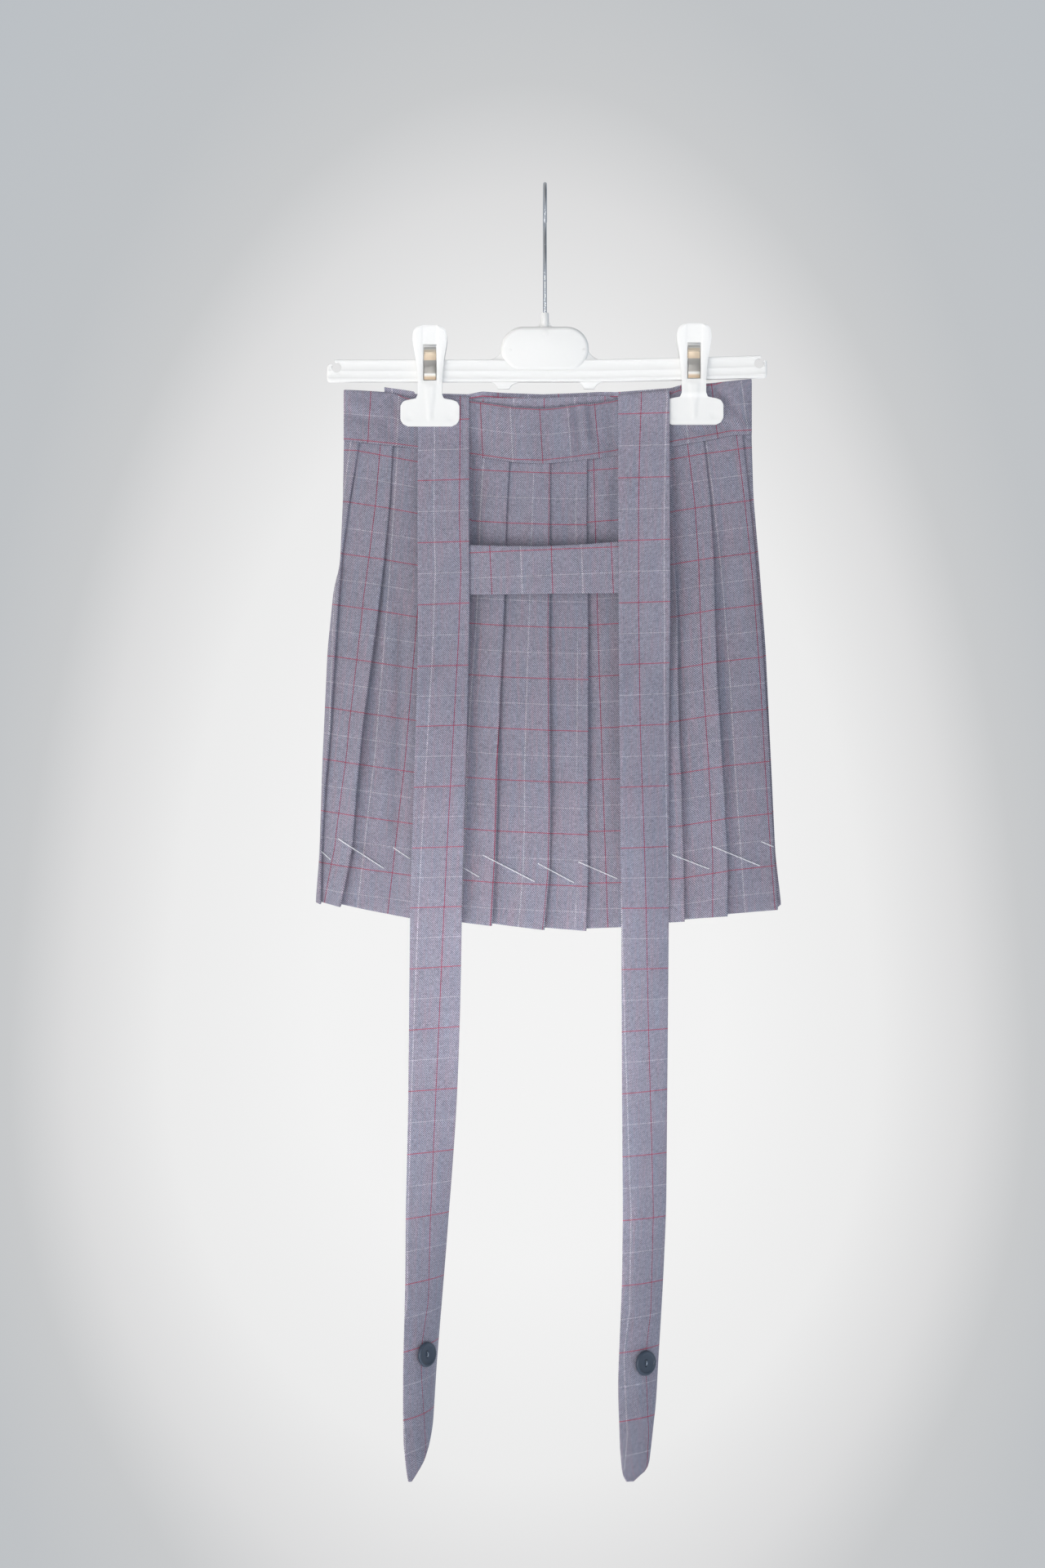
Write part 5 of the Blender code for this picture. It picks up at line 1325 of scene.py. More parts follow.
def strap_row_at(rows, z):
    """A row of the strap table at any height, its corners softened away from the waist and tip."""
    stations = [-row.z for row in rows]
    soft = 10.0 * smooth_step((-z - 190) / 30) * smooth_step((z - rows[-1].z - 30) / 30)
    spread = [-z + offset * soft for offset in (-1, -0.5, 0, 0.5, 1)]
    values = [
        float(np.mean(np.interp(spread, stations, [row[field] for row in rows]))) for field in range(1, 6)
    ]
    return StrapRow(z, *values)


def strap_shape(side):
    """A strap's middle surface from its tail inside the waist, over the band and down the front, the
    number of its first front row, and the stations across it."""
    rows = STRAP_ROWS[side]
    fold_top, slant = STRAP_FOLD_TOP[side]
    columns = rimmed(12, 0.012)
    front = [strap_row(strap_row_at(rows, z), columns) for z in strap_stations(rows)]
    top_row = np.array(front[0])
    top = fold_top + slant * (top_row[:, 0] - rows[0].left)
    inside_y = CLOTH_MIDDLE_Y - TAIL_PINCH
    reach = (inside_y - top_row[:, 1]) / 2
    above = []
    for step in range(8):
        tail = top_row.copy()
        tail[:, 1] = inside_y
        tail[:, 2] = TAIL_BOTTOM_Z + (top - FOLD_HEIGHT - TAIL_BOTTOM_Z) * step / 8
        above.append(tail)
    for step in range(17):
        angle = math.pi * step / 16
        line = top_row.copy()
        line[:, 1] = inside_y - reach * (1 - math.cos(angle))
        line[:, 2] = top - FOLD_HEIGHT * (1 - math.sin(angle))
        above.append(line)
    front = np.array(front)
    front[..., 1] -= crease_depth(front[..., 0], front[..., 2], STRAP_CREASES[side])
    while above[-1][0, 2] < front[0, 0, 2] + 0.4:
        above.pop()
    return np.concatenate([np.array(above), front]), len(above), columns


def strap_check(side, grid, first):
    """Check counts over a strap from its cross lines and its upright red line."""
    left, right = STRAP_REDS[side]
    upright = STRAP_UPRIGHT_RED[side]
    count = np.arange(len(left))
    start = {"left": 1, "right": 0}[side]
    across, down = arc_lengths(grid, 1), arc_lengths(grid, 0)
    check = np.zeros(grid.shape[:2] + (2,))
    for row in range(grid.shape[0]):
        used = max(row, first)
        z = grid[used, 0, 2]

        def rows_down(heights):
            extra = (z - heights[0]) / ACROSS_SPACING if z > heights[0] else 0.0
            return float(np.interp(-z, [-height for height in heights], count)) - extra

        share = across[row] / max(across[row, -1], 1e-6)
        counted = rows_down(left) * (1 - share) + rows_down(right) * share + start
        counted -= (down[used] - down[row]) / ACROSS_SPACING
        red_x = float(np.interp(-z, [-at for at, _ in upright], [x for _, x in upright]))
        red_at = float(np.interp(red_x, grid[used, :, 0], across[used]))
        check[row, :, 0] = (across[row] - red_at) / ALONG_SPACING
        check[row, :, 1] = -counted
    return check


def strap(side):
    """A strap of doubled cloth with rounded edges, sewn inside the waist and hanging in front."""
    grid, first, _ = strap_shape(side)
    across, down = arc_lengths(grid, 1), arc_lengths(grid, 0)
    away_side = np.minimum(across, across[:, -1:] - across)
    away_end = np.minimum(down, down[-1:] - down)
    wall = STRAP_WALL * np.minimum(rim(away_side, STRAP_RIM), rim(away_end, STRAP_RIM))
    name, slant = STRAP_CLOTHS[side]
    maps = {"weave": weave_map(grid), "check": strap_check(side, grid, first)}
    # Painted light: the strap's cloth colour is made paler, standing in for the brighter light on the straps
    # where they stand forward
    return cloth_piece(f"{side}_strap", grid, wall, maps,
                       cloth_material(name, slant, turned=True, painted_light=STRAP_PAINTED_LIGHT))


def strap_y(shape, x, z):
    """Where a strap's middle surface lies at x and z, level beyond its edges."""
    grid, first, _ = shape
    rows = grid[first:]
    across = [np.interp(x, row[:, 0], row[:, 1]) for row in rows]
    return float(np.interp(-z, -rows[:, 0, 2], across))


def cross_band():
    """The band across the chest, sewn behind both straps and standing forward a little between them."""
    shapes = strap_shape("left"), strap_shape("right")
    left_x, right_x = CROSS_ROWS[1].x, CROSS_ROWS[-2].x
    start, end = CROSS_ROWS[0].x, CROSS_ROWS[-1].x
    downs, alongs = rimmed(12, 0.02), rimmed(44, 0.005)
    stations = [row.x for row in CROSS_ROWS]
    grid = np.zeros((len(downs), len(alongs), 3))
    check = np.zeros((len(downs), len(alongs), 2))
    for column, along in enumerate(alongs):
        x = start + (end - start) * along
        spread = [x - 6, x - 3, x, x + 3, x + 6]
        top, bottom, forward = (
            float(np.mean(np.interp(spread, stations, [row[field] for row in CROSS_ROWS])))
            for field in (1, 2, 3)
        )
        forward *= smooth_step((x - left_x) / 12) * smooth_step((right_x - x) / 12)
        for row, down in enumerate(downs):
            z = top + (bottom - top) * down
            ends = strap_y(shapes[0], min(x, left_x), z), strap_y(shapes[1], max(x, right_x), z)
            y = float(np.interp(x, (left_x, right_x), ends)) + CROSS_BEHIND - forward
            grid[row, column] = (x, y, z)
            rows_down = (z - CROSS_TOP_RED - CROSS_RED_LEAN * (x + 1)) / ALONG_SPACING
            check[row, column] = (upright_count(x, down, CROSS_REDS), rows_down)
    wall = CROSS_WALL * rim([min(down, 1 - down) * CROSS_HEIGHT for down in downs], 0.7)[:, None]
    # Painted light: the chest band's cloth colour is made paler, standing in for the brighter light on it
    # where it stands forward
    return cloth_piece("chest_band", grid, wall, {"weave": weave_map(grid), "check": check},
                       cloth_material("chest band twill", 1.0, painted_light=CROSS_PAINTED_LIGHT))


def joined_piece(name, meshes, finish):
    """One piece from several closed meshes."""
    work = bmesh.new()
    for mesh in meshes:
        work.from_mesh(mesh)
    whole = bpy.data.meshes.new(name)
    work.to_mesh(whole)
    work.free()
    whole.materials.clear()
    whole.materials.append(finish)
    for polygon in whole.polygons:
        polygon.material_index = 0
    return linked(name, whole)


def baked(made):
    """A piece with its modifiers turned into plain mesh."""
    graph = bpy.context.evaluated_depsgraph_get()
    mesh = bpy.data.meshes.new_from_object(made.evaluated_get(graph))
    mesh.transform(made.matrix_world)
    return mesh


def taken(made):
    """The finished mesh of a working object, which is then removed."""
    mesh = baked(made)
    bpy.data.objects.remove(made, do_unlink=True)
    return mesh


def spun(name, profile, sides, finish):
    """A closed turned shape about its own Z axis, from rings given as (radius, height)."""
    return new_mesh_piece(name, turned_points(profile, sides), ring_faces(len(profile), sides), finish)


def cut_by(made, cutters):
    """The mesh of a working object less its cutters, which are all removed."""
    for cutter in cutters:
        change = made.modifiers.new("cut", "BOOLEAN")
        change.operation = "DIFFERENCE"
        change.solver = "EXACT"
        change.object = cutter
    bpy.context.view_layer.update()
    mesh = taken(made)
    for cutter in cutters:
        bpy.data.objects.remove(cutter, do_unlink=True)
    return mesh


def button_place(side):
    """The button's seat on the strap's face, as a matrix in metres."""
    z, share = BUTTON_PLACES[side]
    grid, first, columns = strap_shape(side)
    rows = grid[first:]

    def at(height, where):
        line = [np.interp(-height, -rows[:, 0, 2], np.array([
            np.interp(where, columns, row[:, part]) for row in rows])) for part in range(3)]
        return Vector(line)

    middle = at(z, share)
    across = (at(z, share + 0.15) - at(z, share - 0.15)).normalized()
    down = (at(z - 8, share) - at(z + 8, share)).normalized()
    normal = down.cross(across).normalized()
    upright = (-down).normalized()
    seat = middle + normal * (STRAP_WALL / 2 + 0.3)
    turn = Matrix((upright.cross(normal), upright, normal)).transposed().to_4x4()
    return Matrix.Translation(seat * MM) @ turn


def button(side):
    """A dished button with a raised rim and two holes, and the threads through it."""
    finish = button_material()
    profile = [(BUTTON_RADIUS - inset, height) for inset, height in BUTTON_PROFILE]
    work = spun("button work", profile, 64, finish)
    cutters = []
    for up in (BUTTON_HOLE_APART / 2, -BUTTON_HOLE_APART / 2):
        cutter = spun("hole", [(BUTTON_HOLE_RADIUS, -1.0), (BUTTON_HOLE_RADIUS, 5.0)], 20, finish)
        cutter.location.y = up * MM
        cutters.append(cutter)
    whole = joined_piece(f"{side}_button", [cut_by(work, cutters)], finish)
    place = button_place(side)
    whole.data.transform(place)
    whole.data.shade_smooth()
    whole.data.set_sharp_from_angle(angle=math.radians(38))
    bars = []
    for offset in BUTTON_THREAD_OFFSETS:
        route = [(offset * share, up, height) for share, up, height in BUTTON_THREAD]
        bars.append(tube_mesh(route, BUTTON_THREAD_RADIUS, 8))
    cotton = surface_material("button thread", (0.30, 0.36, 0.45), (0.2, 0.24, 0.3), 0.7, 0.2, 2500.0, 0.2)
    thread = joined_piece(f"{side}_button_thread", bars, cotton)
    thread.data.transform(place)
    thread.data.shade_smooth()
    return whole, thread


def tube_mesh(route, radius, sides):
    """A closed round tube along a smoothed route of points in millimetres."""
    curve = bpy.data.curves.new("tube", "CURVE")
    curve.dimensions = "3D"
    curve.bevel_depth = radius * MM
    curve.bevel_resolution = max(sides // 2 - 2, 0)
    curve.use_fill_caps = True
    curve.resolution_u = 6
    spline = curve.splines.new("BEZIER")
    spline.bezier_points.add(len(route) - 1)
    for point, spot in zip(spline.bezier_points, route):
        point.co = Vector(spot) * MM
        point.handle_left_type = point.handle_right_type = "AUTO"
    return taken(linked("tube", curve))


def path_object(name, routes):
    """Routes of points in millimetres as a mesh of bare edges."""
    points, edges = [], []
    for route in routes:
        first = len(points)
        points += [tuple(part * MM for part in spot) for spot in route]
        edges += [(first + step, first + step + 1) for step in range(len(route) - 1)]
    mesh = bpy.data.meshes.new(name)
    mesh.from_pydata(points, edges, [])
    return linked(name, mesh)


def geometry_tree(name, inputs):
    """A Geometry Nodes tree with named inputs, its input node and its output node."""
    tree = bpy.data.node_groups.new(name, "GeometryNodeTree")
    tree.interface.new_socket("Geometry", in_out="INPUT", socket_type="NodeSocketGeometry")
    for label, kind in inputs:
        tree.interface.new_socket(label, in_out="INPUT", socket_type=kind)
    tree.interface.new_socket("Geometry", in_out="OUTPUT", socket_type="NodeSocketGeometry")
    return tree, tree.nodes.new("NodeGroupInput"), tree.nodes.new("NodeGroupOutput")


def thread_tree():
    """A thread laid along a path: inputs for its radius, step and material."""
    tree, given, result = geometry_tree("Laid thread", (
        ("Radius", "NodeSocketFloat"), ("Step", "NodeSocketFloat"), ("Material", "NodeSocketMaterial")))
    new, link = tree.nodes.new, tree.links.new
    to_curve = new("GeometryNodeMeshToCurve")
    resample = new("GeometryNodeResampleCurve")
    resample.mode = "LENGTH"
    ring = new("GeometryNodeCurvePrimitiveCircle")
    ring.inputs["Resolution"].default_value = 7
    to_mesh = new("GeometryNodeCurveToMesh")
    to_mesh.inputs["Fill Caps"].default_value = True
    realize = new("GeometryNodeRealizeInstances")
    finish = new("GeometryNodeSetMaterial")
    link(given.outputs["Geometry"], to_curve.inputs[0])
    link(to_curve.outputs[0], resample.inputs["Curve"])
    link(given.outputs["Step"], resample.inputs["Length"])
    link(given.outputs["Radius"], ring.inputs["Radius"])
    link(resample.outputs[0], to_mesh.inputs["Curve"])
    link(ring.outputs[0], to_mesh.inputs["Profile Curve"])
    link(to_mesh.outputs[0], realize.inputs[0])
    link(realize.outputs[0], finish.inputs["Geometry"])
    link(given.outputs["Material"], finish.inputs["Material"])
    link(finish.outputs[0], result.inputs[0])
    return tree


def stitch_tree():
    """A row of stitches along a path: inputs for a stitch's spacing, length, radius and material."""
    tree, given, result = geometry_tree("Row of stitches", (
        ("Spacing", "NodeSocketFloat"), ("Length", "NodeSocketFloat"), ("Radius", "NodeSocketFloat"),
        ("Material", "NodeSocketMaterial")))
    new, link = tree.nodes.new, tree.links.new
    to_curve = new("GeometryNodeMeshToCurve")
    to_points = new("GeometryNodeCurveToPoints")
    to_points.mode = "LENGTH"
    line = new("GeometryNodeMeshUVSphere")
    line.inputs["Segments"].default_value = 8
    line.inputs["Rings"].default_value = 5
    line.inputs["Radius"].default_value = 1.0
    size = new("ShaderNodeCombineXYZ")
    turn = new("FunctionNodeAlignRotationToVector")
    turn.axis = "Z"
    place = new("GeometryNodeInstanceOnPoints")
    realize = new("GeometryNodeRealizeInstances")
    finish = new("GeometryNodeSetMaterial")
    half = new("ShaderNodeMath")
    half.operation = "MULTIPLY"
    half.inputs[1].default_value = 0.5
    link(given.outputs["Geometry"], to_curve.inputs[0])
    link(to_curve.outputs[0], to_points.inputs["Curve"])
    link(given.outputs["Spacing"], to_points.inputs["Length"])
    link(given.outputs["Length"], half.inputs[0])
    link(given.outputs["Radius"], size.inputs[0])
    link(given.outputs["Radius"], size.inputs[1])
    link(half.outputs[0], size.inputs[2])
    link(to_points.outputs["Points"], place.inputs["Points"])
    link(line.outputs["Mesh"], place.inputs["Instance"])
    link(to_points.outputs["Tangent"], turn.inputs["Vector"])
    link(turn.outputs[0], place.inputs["Rotation"])
    link(size.outputs[0], place.inputs["Scale"])
    link(place.outputs[0], realize.inputs[0])
    link(realize.outputs[0], finish.inputs["Geometry"])
    link(given.outputs["Material"], finish.inputs["Material"])
    link(finish.outputs[0], result.inputs[0])
    return tree


def grown(name, path, tree, values):
    """The plain mesh that a Geometry Nodes tree grows along a path."""
    change = path.modifiers.new("grow", "NODES")
    change.node_group = tree
    sockets = {item.name: item.identifier for item in tree.interface.items_tree if item.in_out == "INPUT"}
    for label, value in values.items():
        change[sockets[label]] = value
    mesh = taken(path)
    mesh.name = name
    mesh.shade_smooth()
    return linked(name, mesh)


def surface_finder(made):
    """A function that gives the y of a piece's face towards the viewer of one side, at x and z."""
    tree = BVHTree.FromObject(made, bpy.context.evaluated_depsgraph_get())

    def find(x, z, facing=-1):
        hit, _, _, _ = tree.ray_cast(Vector((x * MM, facing * 1.0, z * MM)), Vector((0, -facing, 0)))
        return None if hit is None else hit.y / MM

    return find


def thread_route(find, x0, z0, x1, z1, radius, facing=-1):
    """A thread lying on a piece from one point to another, its ends drawn into the cloth."""
    steps = 40
    places = [(x0 + (x1 - x0) * step / steps, z0 + (z1 - z0) * step / steps) for step in range(steps + 1)]
    heights = [find(x, z, facing) for x, z in places]
    known = [height for height in heights if height is not None]
    heights = [height if height is not None else known[0] for height in heights]
    out = np.array(heights) * -facing
    drawn = np.array([out[max(step - 4, 0):step + 5].min() for step in range(steps + 1)])
    drawn = np.minimum(np.convolve(np.pad(drawn, 3, mode="edge"), np.ones(7) / 7, mode="valid"), out)
    route = []
    for step, (x, z) in enumerate(places):
        from_end = min(step, steps - step) * math.hypot(x1 - x0, z1 - z0) / steps
        clearance = (radius + 0.15) * (1 if from_end > 0.8 else -1.2)
        route.append((x, drawn[step] * -facing + facing * clearance, z))
    return route


def inset_outline(outline, inset):
    """A closed outline moved inwards."""
    points = [Vector(point) for point in outline]
    count = len(points)
    moved = []
    for index, point in enumerate(points):
        before = (point - points[index - 1]).normalized()
        after = (points[(index + 1) % count] - point).normalized()
        normal = Vector((-(before.y + after.y), before.x + after.x)).normalized()
        widen = 1 / max(normal.dot(Vector((-after.y, after.x))), 0.5)
        moved.append(point + normal * (inset * widen))
    return moved


def moulded_plate(outline, half_depth, rounding, finish):
    """A plate with a rounded rim; its outline is (x, z) points, counterclockwise from the front."""
    rings = []
    for angle in (0, 22.5, 45, 67.5, 90):
        turn = math.radians(angle)
        rings.append((rounding * (1 - math.sin(turn)), rounding * (1 - math.cos(turn)) - half_depth))
    rings += [(inset, -y) for inset, y in reversed(rings)]
    points = [(point.x, y, point.y) for inset, y in rings for point in inset_outline(outline, inset)]
    return taken(new_mesh_piece("plate", points, ring_faces(len(rings), len(outline)), finish, sharp=50))


def bar_rise(x):
    """How far the bar's right end stands above a level bar."""
    along = max(x - BAR_RISE_FROM, 0) / (BAR_RIGHT - BAR_RISE_FROM)
    return BAR_RISE * along ** BAR_RISE_POWER


def bowed(start, end, bend, steps=8):
    """Points of a smooth curve between two corners, drawn towards a third one."""
    start, bend, end = Vector(start), Vector(bend), Vector(end)
    shares = [step / steps for step in range(steps + 1)]
    return [start.lerp(bend, share).lerp(bend.lerp(end, share), share) for share in shares]


def rounded_corner(before, corner, after, reach, steps):
    """Points of a corner rounded over a reach, or over less than half of a short side."""
    reach = min(reach, (corner - before).length * 0.45, (corner - after).length * 0.45)
    start = corner + (before - corner).normalized() * reach
    end = corner + (after - corner).normalized() * reach
    return bowed(start, end, corner, steps)


def bar_section():
    """The bar's outline across, as (y, drop from its top), with rounded ledges."""
    ledges = (0, *BAR_LEDGES, BAR_TOP - BAR_BOTTOM)
    corners = []
    for index, (upper, lower) in enumerate(zip(ledges, ledges[1:])):
        out = BAR_FACE if index % 2 == 0 else BAR_WEB
        corners += [Vector((-out, upper)), Vector((-out, lower))]
    corners += [Vector((-corner.x, corner.y)) for corner in reversed(corners)]
    section = []
    for before, corner, after in zip(corners[-1:] + corners, corners, corners[1:] + corners[:1]):
        section += rounded_corner(before, corner, after, BAR_ROUND, 2)
    return section


def notch_cutter(x, z, side, finish):
    """The shape that a notch takes out of the bar's end."""
    outline = []
    for step in range(NOTCH_STEPS + 1):
        angle = math.radians(NOTCH_FROM + NOTCH_ROUND * step / NOTCH_STEPS)
        outline.append((x + side * NOTCH_RADIUS * math.cos(angle), z + NOTCH_RADIUS * math.sin(angle)))
    outline += [(x + side * out, z + up) for out, up in NOTCH_MOUTH]
    count = len(outline)
    corners = [(px, y, pz) for y in (-7, 7) for px, pz in outline]
    faces = [tuple(range(count)), tuple(range(count, 2 * count))]
    faces += [(step, (step + 1) % count, count + (step + 1) % count, count + step) for step in range(count)]
    return new_mesh_piece("notch", corners, faces, finish)


def bar_mesh(finish):
    """The bar with softened ends and its two notches."""
    section = bar_section()
    middle = Vector((0, (BAR_TOP - BAR_BOTTOM) / 2))
    stations = [
        *[(BAR_LEFT + inwards, size) for inwards, size in BAR_ENDS],
        *[(x, 1.0) for x in np.linspace(BAR_LEFT + 3, BAR_RIGHT - 3, 44)],
        *[(BAR_RIGHT - inwards, size) for inwards, size in reversed(BAR_ENDS)],
    ]
    points = []
    for x, size in stations:
        for spot in section:
            scaled = middle + (spot - middle) * size
            points.append((x, scaled.x, BAR_TOP - scaled.y + bar_rise(x)))
    bar = new_mesh_piece("bar", points, ring_faces(len(stations), len(section)), finish, sharp=50)
    return cut_by(bar, [notch_cutter(x, z, side, finish) for x, z, side in NOTCHES])


def stadium(centre, width, height, steps):
    """The outline of a plate with round ends."""
    radius = height / 2
    reach = width / 2 - radius
    outline = []
    for side, first in ((1, -90), (-1, 90)):
        for step in range(steps + 1):
            angle = math.radians(first + 180 * step / steps)
            outline.append((centre[0] + side * reach + radius * math.cos(angle),
                            centre[1] + radius * math.sin(angle)))
    return outline


def mirrored(outline):
    """An outline and its mirror image about the neck, run back the other way."""
    return list(outline) + [(2 * NECK_X - x, z) for x, z in reversed(outline)]


def hanger_body():
    """The hanger's one moulding: bar, oval plate, shoulders, lugs, neck and notched ends."""
    finish = plastic()
    parts = [bar_mesh(finish)]
    oval = stadium(OVAL_CENTRE, OVAL_WIDTH, OVAL_HEIGHT, 26)
    parts.append(moulded_plate(oval, OVAL_HALF_DEPTH, OVAL_ROUND, finish))
    shoulder = [Vector((NECK_X + 39.5, BAR_TOP - 3))]
    shoulder += bowed((NECK_X + 39.5, BAR_TOP - 0.4), (NECK_X + 28.0, BAR_TOP + 10),
                      (NECK_X + 31.0, BAR_TOP + 0.6))
    parts.append(moulded_plate(mirrored(shoulder), 2.6, 0.6, finish))
    for top_left, top_right, low_left, low_right in LUGS:
        outline = [(top_left, BAR_BOTTOM + 1)]
        outline += bowed((top_left, BAR_BOTTOM + 0.6), (low_left, LUG_BOTTOM),
                         (low_left - 1, BAR_BOTTOM - 1))
        outline += bowed((low_right, LUG_BOTTOM), (top_right, BAR_BOTTOM + 0.6),
                         (low_right + 1, BAR_BOTTOM - 1))
        outline.append((top_right, BAR_BOTTOM + 1))
        parts.append(moulded_plate(outline, 1.6, 0.4, finish))
    gusset = bowed((NECK_X + 7.5, NECK_BOTTOM), (NECK_X + 2.2, NECK_TOP - 3.4),
                   (NECK_X + 2.8, NECK_BOTTOM + 2.6))
    parts.append(moulded_plate(mirrored(gusset), 1.2, 0.4, finish))
    wire = WIRE_RADIUS + 0.25
    neck_profile = [(NECK_RADIUS + 0.5, NECK_BOTTOM - 1), (NECK_RADIUS + 0.1, NECK_BOTTOM + 1.6),
                    (NECK_RADIUS, NECK_BOTTOM + 4), (NECK_RADIUS - 0.05, NECK_TOP - 0.5),
                    (NECK_RADIUS - 0.4, NECK_TOP), (wire + 0.2, NECK_TOP), (wire, NECK_TOP - 0.3),
                    (wire, NECK_TOP - WIRE_INSIDE_NECK)]
    neck = spun("neck", neck_profile, 28, finish)
    neck.location.x = NECK_X * MM
    bpy.context.view_layer.update()
    parts.append(taken(neck))
    for x, z, radius, height in PIPS:
        profile = [(radius, 0.0), (radius * 0.97, height * 0.45),
                   (radius * 0.85, height * 0.85), (0.05, height)]
        pip = spun("pip", profile, 20, finish)
        place = Matrix.Translation((x * MM, -(OVAL_HALF_DEPTH - 0.06) * MM, z * MM))
        pip.matrix_world = place @ Matrix.Rotation(math.pi / 2, 4, "X")
        bpy.context.view_layer.update()
        parts.append(taken(pip))
    made = joined_piece("hanger_body", parts, finish)
    made.data.shade_smooth()
    made.data.set_sharp_from_angle(angle=math.radians(42))
    return made


def hook_route():
    """The wire's middle line, from the tip round the bend to the neck."""
    radius = HOOK_INNER_RADIUS + WIRE_RADIUS
    start = 180 + math.degrees(math.asin(HOOK_TIP_BELOW_CENTRE / radius))
    route = []
    for step in range(41):
        angle = math.radians(start + (HOOK_BACK_ANGLE - start) * step / 40)
        route.append((radius * math.cos(angle), -HOOK_INNER_RADIUS + radius * math.sin(angle)))
    y, z = route[-1]
    lean = -math.radians(HOOK_BACK_ANGLE)
    y -= HOOK_STRAIGHT * math.sin(lean)
    z -= HOOK_STRAIGHT * math.cos(lean)
    route.append((y, z))
    bend_radius = y / (1 - math.cos(lean))
    for step in range(1, 13):
        angle = lean * (1 - step / 12)
        route.append((bend_radius * (1 - math.cos(angle)),
                      z - bend_radius * (math.sin(lean) - math.sin(angle))))
    route.append((0.0, NECK_TOP - WIRE_INSIDE_NECK + 0.4))
    return [(NECK_X, y, z) for y, z in route]


def hook_wire():
    """The steel wire with a rounded tip."""
    look = settings("hanger")
    finish = surface_material("hook steel wire", look.wire, (0.34, 0.36, 0.40), 0.24, 0.14, 300.0, 0.05, 1.0)
    route = [Vector(spot) for spot in hook_route()]
    sides = 20
    tip_out = (route[0] - route[1]).normalized()
    rings = [(route[0] + tip_out * reach, size) for reach, size in HOOK_TIP]
    rings += [(spot, 1.0) for spot in route[1:]]
    points = []
    side_way = Vector((1, 0, 0))
    for index, (spot, size) in enumerate(rings):
        before = rings[max(index - 1, 0)][0]
        after = rings[min(index + 1, len(rings) - 1)][0]
        normal = (after - before).normalized().cross(side_way).normalized()
        for side in range(sides):
            angle = 2 * math.pi * side / sides
            around = side_way * math.cos(angle) + normal * math.sin(angle)
            points.append(tuple(spot + around * WIRE_RADIUS * size))
    return new_mesh_piece("hook_wire", points, ring_faces(len(rings), sides), finish, sharp=60)


def smooth_table(table, at, field, reach):
    """A table's value at a height, its corners softened over a reach."""
    stations = [-row[0] for row in table]
    spread = [-at + offset * reach for offset in (-1, -0.5, 0, 0.5, 1)]
    return float(np.mean(np.interp(spread, stations, [row[field] for row in table])))


def jaw_relief(x, z, half):
    """How far a jaw's outer face stands out at a point: its spine, its dimples and the window's rim."""
    relief = 0.0
    if z < SPINE_TOP_Z:
        spine = SPINE_HALF - SPINE_TAPER * min((SPINE_TOP_Z - z) / 26, 1)
        fade = float(smooth_step((SPINE_TOP_Z - z) / 3) * smooth_step((z - SPINE_BOTTOM_Z) / 4))
        relief += SPINE_RISE * fade * float(smooth_step((spine - abs(x)) / 1.2))
    for dimple_x in DIMPLE_XS:
        away = math.hypot(x - dimple_x, z - DIMPLE_Z)
        relief -= DIMPLE_DROP * float(smooth_step((DIMPLE_RADIUS - away) / 1.2))
    if z > WINDOW_BOTTOM - 2:
        inwards = smooth_step((abs(x) - WINDOW_HALF) / 1.5) * smooth_step((half - abs(x)) / 2.0)
        relief += WINDOW_RIM_RISE * float(inwards)
    return relief


def clip_jaw(side_name, facing):
    """One jaw of a clip: rounded handle, neck with its window, and a wide foot."""
    clip_x, rise, foot_inner = CLIPS[side_name]
    columns = len(JAW_MIDDLE_COLUMNS) + 2 * len(JAW_OUTER_COLUMNS)
    skip = set()
    front = np.zeros((len(JAW_HEIGHTS), columns, 3))
    rear = np.zeros((len(JAW_HEIGHTS), columns, 3))
    for row, z in enumerate(JAW_HEIGHTS):
        half = smooth_table(JAW_ROWS, z, 1, 0.35 if z < -99 else 0.05)
        inner = smooth_table(JAW_ROWS, z, 2, 2.0)
        if facing > 0:
            inner = max(inner, REAR_INNER)
        elif z <= FOOT_FROM_Z:
            inner += (foot_inner - inner) * float(smooth_step((FOOT_FROM_Z - z) / 4))
        centre = min(WINDOW_HALF, half * 0.6)
        outer = [centre + (half - centre) * share for share in JAW_OUTER_COLUMNS]
        reaches = [*[-x for x in reversed(outer)], *[centre * share for share in JAW_MIDDLE_COLUMNS], *outer]
        beside_window = WINDOW_BOTTOM + 0.05 < z <= WINDOW_TOP + 0.05
        for column, x in enumerate(reaches):
            far = inner + JAW_WALL + jaw_relief(x, z, half)
            rear[row, column] = (clip_x + x, facing * inner, z + rise)
            front[row, column] = (clip_x + x, facing * far, z + rise)
            if beside_window and (abs(x) < centre - 0.01 or abs(x + centre) < 0.01):
                skip.add((row, column))
    name = f"clip_{side_name}_{'front' if facing < 0 else 'rear'}_jaw"
    made = wall_piece(name, front, rear, plastic(), None, skip, sharp=50)
    soft = made.modifiers.new("soft edges", "BEVEL")
    soft.width = 0.55 * MM
    soft.segments = 3
    soft.limit_method = "ANGLE"
    soft.angle_limit = math.radians(50)
    mesh = baked(made)
    made.modifiers.clear()
    made.data = mesh
    mesh.shade_smooth()
    mesh.set_sharp_from_angle(angle=math.radians(60))
    return made


